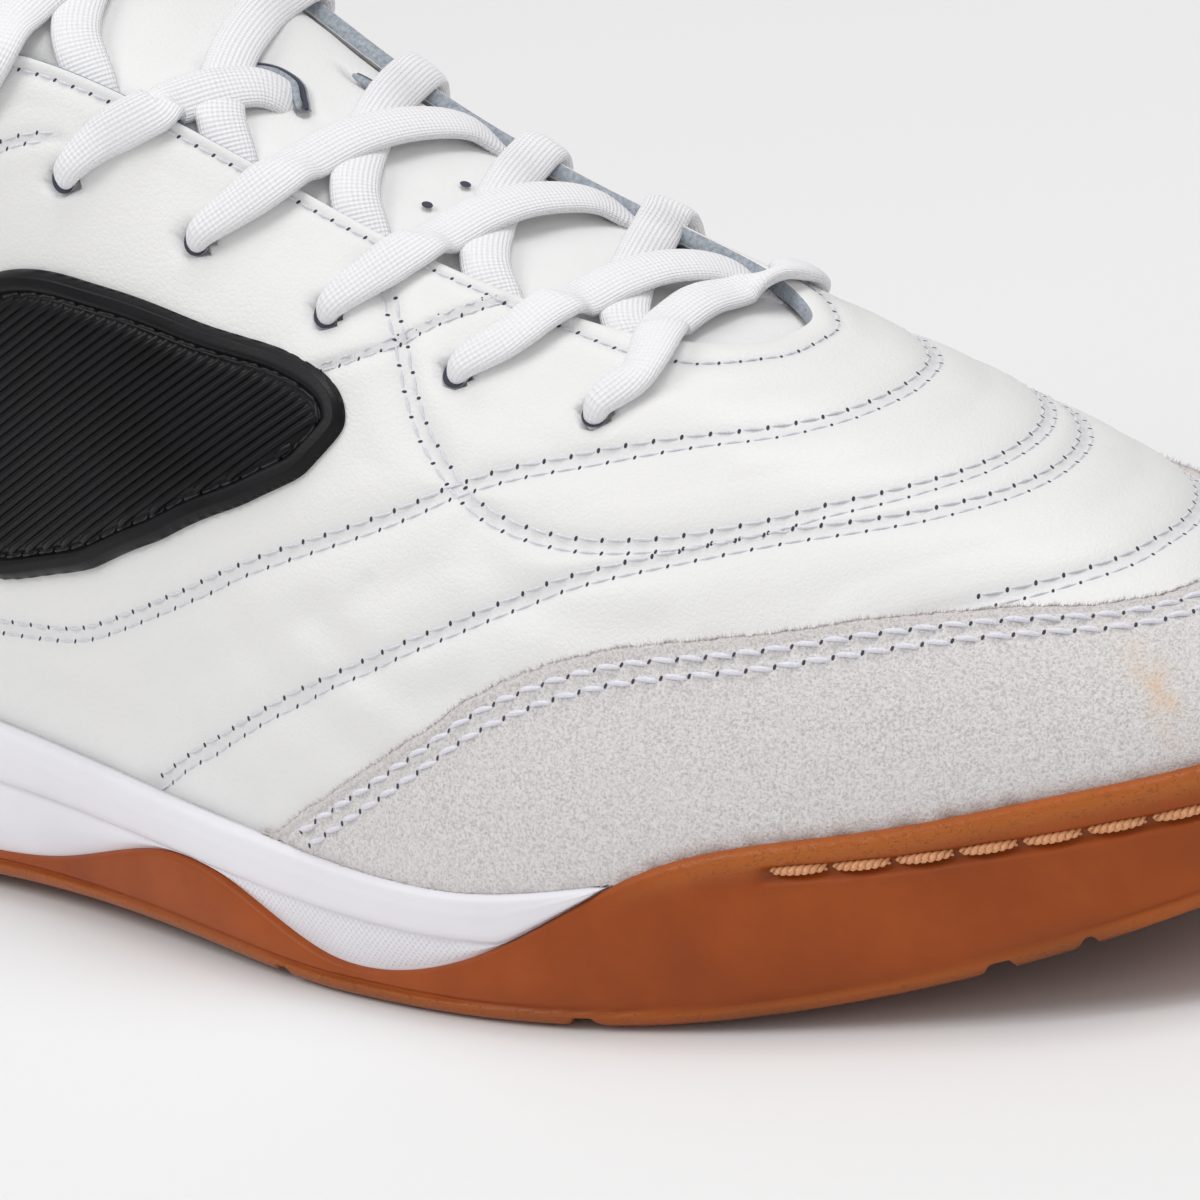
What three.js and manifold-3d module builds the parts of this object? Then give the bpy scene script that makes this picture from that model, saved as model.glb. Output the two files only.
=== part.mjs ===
// Low-cut indoor soccer shoe for the right foot: a white leather upper with a suede toe guard,
// on a white foam midsole in a rubber outsole that wraps up round the toe.
// Millimetres. +X runs to the toe, +Y to the inner side of the foot and +Z up.
// The floor is Z = 0, and X and Y are zero at the middle of the shoe's outline.
import * as THREE from "three";
import { mergeVertices } from "three/addons/utils/BufferGeometryUtils.js";
import Module from "manifold-3d";

// Driving sizes
const LENGTH = 290; // heel to toe of the outsole
const BALL_WIDTH = 104; // outsole across the ball of the foot
const INSTEP_HEIGHT = 104; // floor to the top of the eyestay
const HEEL_HEIGHT = 86; // floor to the collar at the back
const SOLE_HEIGHT = 32; // floor to the top of the sole's side at the heel

// Walls, clearances and details, each set by itself
const UPPER_WALL = 2; // leather, foam and lining together
const CLEARANCE = 0.3; // between touching pieces
const LAY_CLEARANCE = 0.5; // between the upper and what follows its curve
const LACE_CLEARANCE = 0.9; // under the lace
const FLANGE = 2.5; // how far the sole's edge stands out from the foot of the upper
const RUBBER_WALL = 2; // outsole's sidewall at its top
const TREAD = 4.2; // rubber under the foot
const FLOOR_ROUND = 1.3; // rounding of the outsole's lower edge
const SIDE_SWELL = 0.5; // how far the rubber sidewall bulges out
const LIP_LEAN = 0.28; // how far the toe wrap leans out for each millimetre above the edge
const FOOTBED_DROP = 5.5; // sole's edge down to the top of the midsole
const UPPER_SINK = 2; // sole's edge down to where the upper's curve begins
const INSOLE_THICKNESS = 4;
const STEP_IN = 0.9; // recess of the midsole's lower band
const STEP_SHARE = 0.62; // height of the step between floor and edge
const GUARD_THICKNESS = 1.2; // suede
const PANEL_THICKNESS = 1.2; // ribbed side panels
const TONGUE_THICKNESS = 4;
const TONGUE_OVERLAP = 13; // how far the tongue reaches under each side of the throat
const TONGUE_TOP_OVERLAP = 5; // the same at the top eyelets
const TONGUE_RISE = 34; // free length of the tongue above the throat
const TONGUE_ARCH = 0.22; // how strongly the tongue arches across the throat
const EYELETS = 6; // a side
const FIRST_EYELET = 0.211; // front eyelet ahead of the middle, in shares of the length
const EYELET_PITCH = 18.3;
const EYELET_EDGE = 15; // hole centre to the edge of the throat
const EYELET_RADIUS = 1.9;
const LACE_WIDTH = 6;
const LACE_THICKNESS = 1.9;
const LACE_LIFT = 1.6; // of the strand that lies on top of another
const EDGE_LIFT = 0.9; // of a strand where it runs over the edge of the throat
const LACE_END_LIFT = 1.4; // of the lower strand where it meets the next one
const GROOVE_WIDTH = 2.4; // between the tread's bars
const GROOVE_DEPTH = 1.6;
const GROOVE_PITCH = 14;
const ARCH_PLAIN = 0.14; // ungrooved arch behind the middle, in shares of the length
const ARCH_PLAIN_END = 0.02; // and ahead of it

// Stations round the sole, heel first, with the same share of the length on both sides.
// outer and inner are half-widths in shares of BALL_WIDTH. floor, edgeOut and edgeIn are heights
// in shares of SOLE_HEIGHT, of the underside and of the sole's edge. rubber is how far up the
// side the rubber reaches: it waves along the middle and wraps the toe above the edge.
const SOLE = table("share outer inner floor edgeOut edgeIn rubber", [
  [0.0, 0.0, 0.0, 0.188, 1.0, 1.0, 0.48],
  [0.02, 0.178, 0.173, 0.113, 0.994, 0.994, 0.45],
  [0.07, 0.288, 0.284, 0.031, 0.969, 0.969, 0.38],
  [0.145, 0.344, 0.335, 0.0, 0.922, 0.938, 0.28],
  [0.24, 0.361, 0.337, 0.0, 0.859, 0.891, 0.22],
  [0.34, 0.365, 0.31, 0.038, 0.766, 0.828, 0.18],
  [0.44, 0.399, 0.303, 0.069, 0.666, 0.75, 0.24],
  [0.53, 0.45, 0.346, 0.05, 0.581, 0.641, 0.61],
  [0.61, 0.49, 0.409, 0.0, 0.519, 0.55, 0.26],
  [0.69, 0.5, 0.462, 0.0, 0.481, 0.506, 0.5],
  [0.77, 0.46, 0.476, 0.019, 0.569, 0.55, 1.06],
  [0.85, 0.375, 0.428, 0.106, 0.644, 0.644, 1.16],
  [0.92, 0.274, 0.337, 0.238, 0.75, 0.75, 1.13],
  [0.975, 0.149, 0.188, 0.375, 0.85, 0.85, 1.05],
  [1.0, 0.0, 0.0, 0.453, 0.906, 0.906, 1.03],
]);

// The upper's edge round collar and throat, and how each meridian bends on its way up to it.
// x is in shares of LENGTH from the heel, y of BALL_WIDTH and z of INSTEP_HEIGHT, but z of
// HEEL_HEIGHT in the collar's rows. rise and lean place the first bend above and outside the foot
// of the upper, reach and drop the second one outside and below the edge, all in shares of
// INSTEP_HEIGHT.
const OUTER = table("x y z rise lean reach drop", [
  [0.028, 0.0, 1.0, 0.25, 0.029, 0.029, 0.212],
  [0.038, -0.115, 0.988, 0.24, 0.029, 0.029, 0.212],
  [0.072, -0.212, 0.93, 0.212, 0.024, 0.038, 0.192],
  [0.141, -0.269, 0.802, 0.173, 0.029, 0.038, 0.154],
  [0.234, -0.303, 0.715, 0.135, 0.029, 0.038, 0.135],
  [0.314, -0.303, 0.673, 0.135, 0.019, 0.048, 0.154],
  [0.369, -0.269, 0.885, 0.154, 0.0, 0.067, 0.212],
  [0.421, -0.226, 0.981, 0.173, -0.01, 0.115, 0.212],
  [0.517, -0.183, 0.88, 0.183, 0.0, 0.135, 0.173],
  [0.597, -0.168, 0.779, 0.163, 0.01, 0.154, 0.125],
  [0.666, -0.154, 0.712, 0.154, 0.014, 0.173, 0.096],
  [0.71, -0.125, 0.675, 0.144, 0.019, 0.231, 0.096],
  [0.734, -0.082, 0.656, 0.135, 0.019, 0.298, 0.115],
  [0.747, -0.034, 0.646, 0.125, 0.019, 0.346, 0.135],
  [0.749, 0.014, 0.644, 0.115, 0.019, 0.365, 0.144],
]);
const INNER = table("x y z rise lean reach drop", [
  [0.028, 0.0, 1.0, 0.25, 0.029, 0.029, 0.212],
  [0.038, 0.115, 0.988, 0.24, 0.029, 0.029, 0.212],
  [0.072, 0.212, 0.93, 0.212, 0.024, 0.038, 0.192],
  [0.141, 0.269, 0.814, 0.173, 0.029, 0.038, 0.154],
  [0.234, 0.288, 0.756, 0.135, 0.029, 0.038, 0.135],
  [0.314, 0.279, 0.712, 0.135, 0.019, 0.048, 0.154],
  [0.369, 0.24, 0.899, 0.173, 0.0, 0.067, 0.212],
  [0.421, 0.188, 0.99, 0.212, -0.01, 0.096, 0.231],
  [0.517, 0.135, 0.885, 0.212, 0.0, 0.106, 0.192],
  [0.597, 0.12, 0.784, 0.202, 0.01, 0.115, 0.154],
  [0.666, 0.113, 0.716, 0.183, 0.014, 0.144, 0.125],
  [0.71, 0.101, 0.679, 0.163, 0.019, 0.202, 0.125],
  [0.734, 0.077, 0.658, 0.144, 0.019, 0.269, 0.135],
  [0.747, 0.048, 0.647, 0.125, 0.019, 0.327, 0.144],
  [0.749, 0.014, 0.644, 0.115, 0.019, 0.365, 0.144],
]);
const COLLAR_ROWS = 5; // rows of the two tables above that set the collar

// The suede guard's upper edge, and the outline of a side panel: station along the shoe's side
// and heights as shares of the way up the upper.
const GUARD = table("station high", [
  [7.6, 0.06],
  [8.1, 0.14],
  [8.7, 0.26],
  [9.3, 0.36],
  [10.0, 0.42],
  [10.7, 0.445],
  [11.5, 0.47],
  [12.3, 0.465],
  [13.1, 0.435],
  [14.0, 0.4],
]);
const PANEL = table("station low high", [
  [5.0, 0.44, 0.65],
  [5.05, 0.39, 0.69],
  [5.2, 0.355, 0.71],
  [6.0, 0.335, 0.725],
  [6.6, 0.355, 0.715],
  [7.2, 0.41, 0.7],
  [7.8, 0.49, 0.705],
  [8.25, 0.565, 0.725],
  [8.5, 0.63, 0.72],
  [8.6, 0.66, 0.7],
]);

// The tongue's free end, in shares of TONGUE_RISE behind and above the middle of its last row
// under the eyestay, with its half-width and the height of its arch.
const TONGUE_END = table("back up half arch", [
  [0.26, 0.2, 0.7, 0.24],
  [0.5, 0.43, 0.8, 0.24],
  [0.69, 0.67, 0.83, 0.22],
  [0.81, 0.86, 0.78, 0.18],
  [0.87, 0.96, 0.62, 0.12],
  [0.89, 1.0, 0.36, 0.06],
]);

// How far each lace strand lies ahead of its eyelet where it crosses the edge of its own side,
// and ahead of the named eyelet where it dips under the far side.
const OUTER_STRAND = { near: 8, far: 0 };
const INNER_STRAND = { near: 4, far: 9.5 };
const FRONT_BAR = { near: 1.5, far: 3 };

// Mesh fineness
const COLUMNS = 80; // round the shoe
const UPPER_ROWS = 7;
const STRAND_SPANS = 12;

const TOE = SOLE.length - 1; // station of the toe
const STATIONS = 2 * TOE; // heel, outer side, toe and back along the inner side

// Tables and smooth loops

function table(names, rows) {
  const keys = names.split(" ");
  return rows.map((row) => Object.fromEntries(keys.map((key, i) => [key, row[i]])));
}

function mix(a, b, f) {
  return a + (b - a) * f;
}

function clamp01(f) {
  return Math.min(1, Math.max(0, f));
}

// A table's column read between its rows
function read(rows, key, column, at) {
  const last = rows.length - 1;
  const i = Math.max(0, Math.min(last - 1, rows.findIndex((row) => row[key] > at) - 1));
  const from = at >= rows[last][key] ? last - 1 : i;
  const span = rows[from + 1][key] - rows[from][key];
  return mix(rows[from][column], rows[from + 1][column], clamp01((at - rows[from][key]) / span));
}

// A smooth closed curve through one value a station
function smoothLoop(values) {
  const count = values.length;
  const bend = values.map(() => 0);
  for (let sweep = 0; sweep < 40; sweep += 1) {
    values.forEach((value, i) => {
      const before = (i + count - 1) % count;
      const after = (i + 1) % count;
      const turn = 6 * (values[after] - 2 * value + values[before]);
      bend[i] = (turn - bend[before] - bend[after]) / 4;
    });
  }
  return (station) => {
    const whole = Math.floor(station);
    const i = ((whole % count) + count) % count;
    const j = (i + 1) % count;
    const f = station - whole;
    const g = 1 - f;
    const curve = ((g ** 3 - g) * bend[i] + (f ** 3 - f) * bend[j]) / 6;
    return values[i] * g + values[j] * f + curve;
  };
}

// One loop from the rows of the outer side and, back from the toe, those of the inner side
function loop(outerRows, innerRows, outerValue, innerValue) {
  const inner = innerRows.slice(1, TOE).reverse();
  return smoothLoop([...outerRows.map(outerValue), ...inner.map(innerValue)]);
}

const soleLoop = (outerValue, innerValue) => loop(SOLE, SOLE, outerValue, innerValue);
const upperLoop = (value) =>
  loop(OUTER, INNER, (row) => value(row, OUTER.indexOf(row)), (row) => value(row, INNER.indexOf(row)));

const sideX = soleLoop((row) => (row.share - 0.5) * LENGTH, (row) => (row.share - 0.5) * LENGTH);
const centreShift = ((SOLE[9].outer - SOLE[10].inner) / 2) * BALL_WIDTH;
const sideY = soleLoop(
  (row) => centreShift - row.outer * BALL_WIDTH,
  (row) => centreShift + row.inner * BALL_WIDTH,
);
const floorLoop = soleLoop((row) => row.floor * SOLE_HEIGHT, (row) => row.floor * SOLE_HEIGHT);
const sideFloor = (station) => Math.max(0, floorLoop(station));
const sideEdge = soleLoop((row) => row.edgeOut * SOLE_HEIGHT, (row) => row.edgeIn * SOLE_HEIGHT);
const rubberShare = soleLoop((row) => row.rubber, (row) => row.rubber);
const rubberTop = (station) => mix(sideFloor(station), sideEdge(station), rubberShare(station));

const edgeX = upperLoop((row) => (row.x - 0.5) * LENGTH);
const edgeY = upperLoop((row) => centreShift + row.y * BALL_WIDTH);
const edgeZ = upperLoop((row, i) => row.z * (i < COLLAR_ROWS ? HEEL_HEIGHT : INSTEP_HEIGHT));
const rise = upperLoop((row) => row.rise * INSTEP_HEIGHT);
const lean = upperLoop((row) => row.lean * INSTEP_HEIGHT);
const reach = upperLoop((row) => row.reach * INSTEP_HEIGHT);
const drop = upperLoop((row) => row.drop * INSTEP_HEIGHT);

// Points on the sole and the upper

function outward(station) {
  const small = 0.001;
  const dx = sideX(station + small) - sideX(station - small);
  const dy = sideY(station + small) - sideY(station - small);
  return new THREE.Vector3(dy, -dx, 0).normalize();
}

// A point on the sole's side, set in from its outline
function solePoint(station, inset, z) {
  const away = outward(station).multiplyScalar(-inset);
  return new THREE.Vector3(sideX(station), sideY(station), z).add(away);
}

// A point on the upper's outside, from its foot (0) to the edge of collar and throat (1)
function upperPoint(station, share) {
  const foot = solePoint(station, FLANGE, sideEdge(station) - UPPER_SINK);
  const edge = new THREE.Vector3(edgeX(station), edgeY(station), edgeZ(station));
  const low = foot.clone().addScaledVector(outward(station), lean(station));
  low.z += rise(station);
  const away = foot.clone().sub(edge).setZ(0).normalize();
  const high = edge.clone().addScaledVector(away, reach(station));
  high.z -= drop(station);
  return new THREE.CubicBezierCurve3(foot, low, high, edge).getPoint(share);
}

function upperNormal(station, share) {
  const small = 0.002;
  const at = Math.min(1 - small, Math.max(small, share));
  const along = upperPoint(station + small, at).sub(upperPoint(station - small, at));
  const up = upperPoint(station, at + small).sub(upperPoint(station, at - small));
  return along.cross(up).normalize();
}

// The upper's surface moved out along its normal, or in where the distance is negative
function offUpper(station, share, distance) {
  return upperPoint(station, share).addScaledVector(upperNormal(station, share), distance);
}

// The share of the way up at a distance below the edge
function shareBelowEdge(station, distance) {
  const edge = upperPoint(station, 1);
  let low = 0;
  let high = 1;
  for (let step = 0; step < 24; step += 1) {
    const middle = (low + high) / 2;
    if (upperPoint(station, middle).distanceTo(edge) > distance) low = middle;
    else high = middle;
  }
  return high;
}

// The outer station where a value that grows towards the toe reaches the one asked for
function outerStation(value, wanted, low, high) {
  for (let step = 0; step < 24; step += 1) {
    const middle = (low + high) / 2;
    if (value(middle) < wanted) low = middle;
    else high = middle;
  }
  return low;
}

const edgeStation = (x) => outerStation(edgeX, x, 5.5, TOE);
const floorAt = (x) => sideFloor(outerStation(sideX, x, 0.2, TOE));

// Meshes

const colours = {
  rubber: 0xa65a26,
  foam: 0xf1eff4,
  leather: 0xf4f2ee,
  suede: 0xcdc9c8,
  black: 0x131317,
  lining: 0xd9d6d4,
  lace: 0xf4f3f8,
};

const group = new THREE.Group();
group.name = "indoor_soccer_shoe";

function add(name, geometry, colour, roughness) {
  geometry.computeVertexNormals();
  const mesh = new THREE.Mesh(geometry, new THREE.MeshStandardMaterial({ color: colour, roughness }));
  mesh.name = name;
  group.add(mesh);
}

// A closed body from triangles of points, with doubled points joined and empty triangles left out
function bodyFrom(triangles) {
  const flat = new THREE.BufferGeometry();
  const numbers = triangles.flat().flatMap((point) => [point.x, point.y, point.z]);
  flat.setAttribute("position", new THREE.Float32BufferAttribute(numbers, 3));
  const joined = mergeVertices(flat, 1e-4);
  const index = [...joined.index.array];
  const kept = [];
  for (let i = 0; i < index.length; i += 3) {
    const [a, b, c] = index.slice(i, i + 3);
    if (a !== b && b !== c && c !== a) kept.push(a, b, c);
  }
  joined.setIndex(kept);
  return joined;
}

function quad(a, b, c, d) {
  return [
    [a, b, c],
    [a, c, d],
  ];
}

// Rows of points, upwards, that each run round the shoe, joined by a skin that faces outwards
function skin(rows) {
  const triangles = [];
  for (let r = 0; r + 1 < rows.length; r += 1) {
    rows[r].forEach((point, i) => {
      const j = (i + 1) % rows[r].length;
      triangles.push(...quad(point, rows[r][j], rows[r + 1][j], rows[r + 1][i]));
    });
  }
  return triangles;
}

// A lid across a row, from its outer side to its inner side
function lid(row, facesUp) {
  const triangles = [];
  const count = row.length;
  for (let i = 0; i < count / 2; i += 1) {
    const a = row[i];
    const b = row[i + 1];
    const c = row[(count - i - 1) % count];
    const d = row[(count - i) % count];
    triangles.push(...(facesUp ? quad(a, b, c, d) : quad(d, c, b, a)));
  }
  return triangles;
}

function stackedBody(rows) {
  return bodyFrom([...skin(rows), ...lid(rows[0], false), ...lid(rows[rows.length - 1], true)]);
}

const around = (point) =>
  Array.from({ length: COLUMNS }, (_, i) => point((i * STATIONS) / COLUMNS));

// A sheet of points in rows, given a thickness along its normals. A folded sheet's first row
// doubles back on itself, so that the sheet is closed there.
function thickSheet(sheet, thickness, folded = false) {
  const last = sheet.length - 1;
  const width = sheet[0].length - 1;
  const normals = sheet.map((row, r) =>
    row.map((_, i) => {
      const across = row[Math.min(width, i + 1)].clone().sub(row[Math.max(0, i - 1)]);
      const along = sheet[Math.min(last, r + 1)][i].clone().sub(sheet[Math.max(0, r - 1)][i]);
      return across.cross(along).normalize();
    }),
  );
  if (folded) {
    const first = normals[0].map((normal) => normal.clone());
    normals[0].forEach((normal, i) => normal.add(first[width - i]).normalize());
  }
  const far = sheet.map((row, r) =>
    row.map((point, i) => point.clone().addScaledVector(normals[r][i], thickness)),
  );
  const [over, under] = thickness > 0 ? [far, sheet] : [sheet, far];
  const triangles = [];
  for (let r = 0; r < last; r += 1) {
    for (let i = 0; i < width; i += 1) {
      triangles.push(...quad(over[r][i], over[r][i + 1], over[r + 1][i + 1], over[r + 1][i]));
      triangles.push(...quad(under[r][i], under[r + 1][i], under[r + 1][i + 1], under[r][i + 1]));
    }
    triangles.push(...quad(under[r][0], over[r][0], over[r + 1][0], under[r + 1][0]));
    const end = [under[r][width], under[r + 1][width], over[r + 1][width], over[r][width]];
    triangles.push(...quad(...end));
  }
  for (let i = 0; i < width; i += 1) {
    const start = [under[0][i], under[0][i + 1], over[0][i + 1], over[0][i]];
    if (!folded) triangles.push(...quad(...start));
    const tip = [under[last][i], over[last][i], over[last][i + 1], under[last][i + 1]];
    triangles.push(...quad(...tip));
  }
  return bodyFrom(triangles);
}

// Solids cut from and joined to each other

const wasm = await Module();
wasm.setup();

function solid(geometry) {
  const clean = geometry.clone();
  clean.deleteAttribute("normal");
  clean.deleteAttribute("uv");
  const joined = mergeVertices(clean, 1e-4);
  return new wasm.Manifold(
    new wasm.Mesh({
      numProp: 3,
      vertProperties: new Float32Array(joined.attributes.position.array),
      triVerts: new Uint32Array(joined.index.array),
    }),
  );
}

function geometryOf(shape) {
  const mesh = shape.getMesh();
  const geometry = new THREE.BufferGeometry();
  geometry.setAttribute("position", new THREE.BufferAttribute(mesh.vertProperties, 3));
  geometry.setIndex(new THREE.BufferAttribute(mesh.triVerts, 1));
  return geometry;
}

// Sole

const footbed = (station) => sideEdge(station) - FOOTBED_DROP;

// The midsole, or the room it takes when grown by a clearance: a core inside the rubber that
// steps out over the rubber's wavy edge wherever foam shows
function midsoleBody(grow) {
  const shows = (s) => clamp01((sideEdge(s) - rubberTop(s) - CLEARANCE) / 1.2);
  const out = (s, inset) => mix(FLANGE, inset, shows(s)) - grow;
  const up = (s, z) => mix(footbed(s), z, shows(s));
  const ledge = (s) => Math.min(rubberTop(s) + CLEARANCE, sideEdge(s));
  const step = (s) => Math.max(ledge(s), mix(sideFloor(s), sideEdge(s), STEP_SHARE));
  return stackedBody([
    around((s) => solePoint(s, FLANGE - grow, sideFloor(s) + TREAD + CLEARANCE - grow)),
    around((s) => solePoint(s, FLANGE - grow, up(s, ledge(s) - grow) - 0.01)),
    around((s) => solePoint(s, out(s, STEP_IN), up(s, ledge(s) - grow))),
    around((s) => solePoint(s, out(s, STEP_IN), up(s, step(s)))),
    around((s) => solePoint(s, out(s, 0), up(s, mix(step(s), sideEdge(s), 0.12)))),
    around((s) => solePoint(s, out(s, 0), up(s, sideEdge(s) + grow))),
    around((s) => solePoint(s, mix(FLANGE, RUBBER_WALL, shows(s)), up(s, sideEdge(s) + grow))),
    around((s) => solePoint(s, mix(FLANGE, RUBBER_WALL, shows(s)), footbed(s) + 0.01)),
  ]);
}

// The room inside the sole's edge, taken up by the foot of the upper
function wellBody() {
  const lip = (s) => Math.max(0, rubberTop(s) - sideEdge(s));
  return stackedBody([
    around((s) => solePoint(s, RUBBER_WALL, footbed(s) - 1)),
    around((s) => solePoint(s, RUBBER_WALL, sideEdge(s))),
    around((s) => solePoint(s, RUBBER_WALL - lip(s) * LIP_LEAN, sideEdge(s) + lip(s) + 1)),
  ]);
}

function outsoleBody() {
  const height = (s, share) => mix(sideFloor(s), rubberTop(s), share);
  const swell = (s) => -SIDE_SWELL * clamp01((rubberTop(s) - sideFloor(s)) / 12);
  const shell = stackedBody([
    around((s) => solePoint(s, FLOOR_ROUND, sideFloor(s))),
    around((s) => solePoint(s, FLOOR_ROUND * 0.3, sideFloor(s) + FLOOR_ROUND * 0.8)),
    around((s) => solePoint(s, 0, height(s, 0.3))),
    around((s) => solePoint(s, swell(s), height(s, 0.7))),
    around((s) => solePoint(s, 0, rubberTop(s))),
  ]);
  const foam = solid(midsoleBody(CLEARANCE * 1.15));
  let sole = solid(shell).subtract(foam).subtract(solid(wellBody()));
  const bars = Math.floor((LENGTH - 30) / GROOVE_PITCH);
  for (let i = 0; i < bars; i += 1) {
    const x = (i - (bars - 1) / 2) * GROOVE_PITCH;
    const inArch = x > -ARCH_PLAIN * LENGTH && x < ARCH_PLAIN_END * LENGTH;
    if (!inArch) sole = sole.subtract(solid(grooveBox(x)));
  }
  return geometryOf(sole);
}

// A groove across the tread, from below the floor to its depth in the rubber
function grooveBox(x) {
  const under = 2;
  const top = floorAt(x) + GROOVE_DEPTH;
  const box = new THREE.BoxGeometry(GROOVE_WIDTH, 2 * BALL_WIDTH, top + under);
  return box.translate(x, 0, (top - under) / 2);
}

function insoleBody() {
  const inset = FLANGE + UPPER_WALL + CLEARANCE;
  const bottom = (s) => footbed(s) + CLEARANCE;
  return stackedBody([
    around((s) => solePoint(s, inset, bottom(s))),
    around((s) => solePoint(s, inset, bottom(s) + INSOLE_THICKNESS * 0.8)),
    around((s) => solePoint(s, inset + 1.2, bottom(s) + INSOLE_THICKNESS)),
  ]);
}

// Upper and what lies on it

const eyeletStation = (number) => {
  const x = FIRST_EYELET * LENGTH - number * EYELET_PITCH;
  const holeX = (s) => upperPoint(s, shareBelowEdge(s, EYELET_EDGE)).x;
  return outerStation(holeX, x, 5.5, TOE - 1);
};

const EYELET_STATIONS = Array.from({ length: EYELETS }, (_, number) => eyeletStation(number));

function upperShell() {
  const shares = Array.from({ length: UPPER_ROWS + 1 }, (_, i) => i / UPPER_ROWS);
  const base = (s) => footbed(s) + CLEARANCE;
  const outside = shares.map((share) => around((s) => upperPoint(s, share)));
  const inside = shares.map((share) => around((s) => offUpper(s, share, -UPPER_WALL)));
  const foot = around((s) => solePoint(s, FLANGE, base(s)));
  const innerFoot = around((s) => solePoint(s, FLANGE + UPPER_WALL, base(s)));
  return bodyFrom(skin([innerFoot, foot, ...outside, ...inside.reverse(), innerFoot]));
}

function punch(station) {
  const share = shareBelowEdge(station, EYELET_EDGE);
  const pin = new THREE.CylinderGeometry(EYELET_RADIUS, EYELET_RADIUS, 4 * UPPER_WALL, 8);
  const upright = new THREE.Vector3(0, 1, 0);
  const turn = new THREE.Quaternion().setFromUnitVectors(upright, upperNormal(station, share));
  const centre = offUpper(station, share, -UPPER_WALL / 2);
  return pin.applyQuaternion(turn).translate(centre.x, centre.y, centre.z);
}

function upperBody() {
  let shell = solid(upperShell());
  EYELET_STATIONS.forEach((station) => {
    shell = shell.subtract(solid(punch(station)));
    shell = shell.subtract(solid(punch(STATIONS - station)));
  });
  return geometryOf(shell);
}

// The suede guard, from just above the sole's edge to its upper edge on both sides
function guardBody() {
  const first = GUARD[0].station;
  const spans = 40;
  const rows = 3;
  const sheet = Array.from({ length: spans + 1 }, (_, i) => {
    const station = mix(first, STATIONS - first, i / spans);
    const outer = Math.min(station, STATIONS - station);
    const high = read(GUARD, "station", "high", outer);
    const rim = Math.max(sideEdge(station), rubberTop(station)) + CLEARANCE;
    const low = shareAtHeight(station, rim);
    return Array.from({ length: rows + 1 }, (_, r) =>
      offUpper(station, mix(low, Math.max(high, low + 0.02), r / rows), LAY_CLEARANCE),
    );
  });
  return thickSheet(sheet, -GUARD_THICKNESS);
}

// The share of the way up the upper where it passes a height
function shareAtHeight(station, z) {
  let share = 0;
  while (upperPoint(station, share).z < z) share += 0.002;
  return share;
}

function panelBody(inner) {
  const rows = 4;
  const sheet = PANEL.map(({ station, low, high }) => {
    const at = inner ? STATIONS - station : station;
    return Array.from({ length: rows + 1 }, (_, r) =>
      offUpper(at, mix(low, high, r / rows), LAY_CLEARANCE),
    );
  });
  return thickSheet(inner ? sheet.reverse() : sheet, -PANEL_THICKNESS);
}

// Tongue

// A point on the tongue's top, across the throat from the outer edge (0) to the inner one (1),
// at an outer station and an inner one
function archPoint(outerAt, innerAt, across) {
  const under = -(UPPER_WALL + LAY_CLEARANCE);
  const from = offUpper(outerAt, 1, under);
  const to = offUpper(innerAt, 1, under);
  const width = from.distanceTo(to) * TONGUE_ARCH;
  const rising = (s) => upperPoint(s, 1).sub(upperPoint(s, 0.98)).normalize().multiplyScalar(width);
  const high = from.clone().add(rising(outerAt));
  const farHigh = to.clone().add(rising(innerAt));
  return new THREE.CubicBezierCurve3(from, high, farHigh, to).getPoint(across);
}

function tongueBody() {
  const spans = 15;
  const sideSteps = 3;
  const acrossSteps = 6;
  const top = EYELET_STATIONS[EYELETS - 1] + 0.1;
  const under = -(UPPER_WALL + LAY_CLEARANCE);
  const sheet = Array.from({ length: spans + 1 }, (_, i) => {
    const station = mix(TOE, top, i / spans);
    const overlap = mix(TONGUE_TOP_OVERLAP, TONGUE_OVERLAP, clamp01((station - top) / 2));
    const side = (at) =>
      Array.from({ length: sideSteps }, (_, k) =>
        offUpper(at, shareBelowEdge(at, overlap * (1 - k / sideSteps)), under),
      );
    const middle = Array.from({ length: acrossSteps + 1 }, (_, k) =>
      archPoint(station, STATIONS - station, k / acrossSteps),
    );
    return [...side(station), ...middle, ...side(STATIONS - station).reverse()];
  });
  const width = sheet[0].length - 1;
  const crown = sheet[spans][width / 2];
  TONGUE_END.forEach(({ back, up, half, arch }) => {
    const row = sheet[0].map((_, i) => {
      const across = (2 * i) / width - 1;
      const y = crown.y + across * half * TONGUE_RISE;
      const sag = arch * TONGUE_RISE * across ** 2;
      return new THREE.Vector3(crown.x - back * TONGUE_RISE, y, crown.z + up * TONGUE_RISE - sag);
    });
    sheet.push(row);
  });
  return thickSheet(sheet, -TONGUE_THICKNESS, true);
}

// Laces

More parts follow.
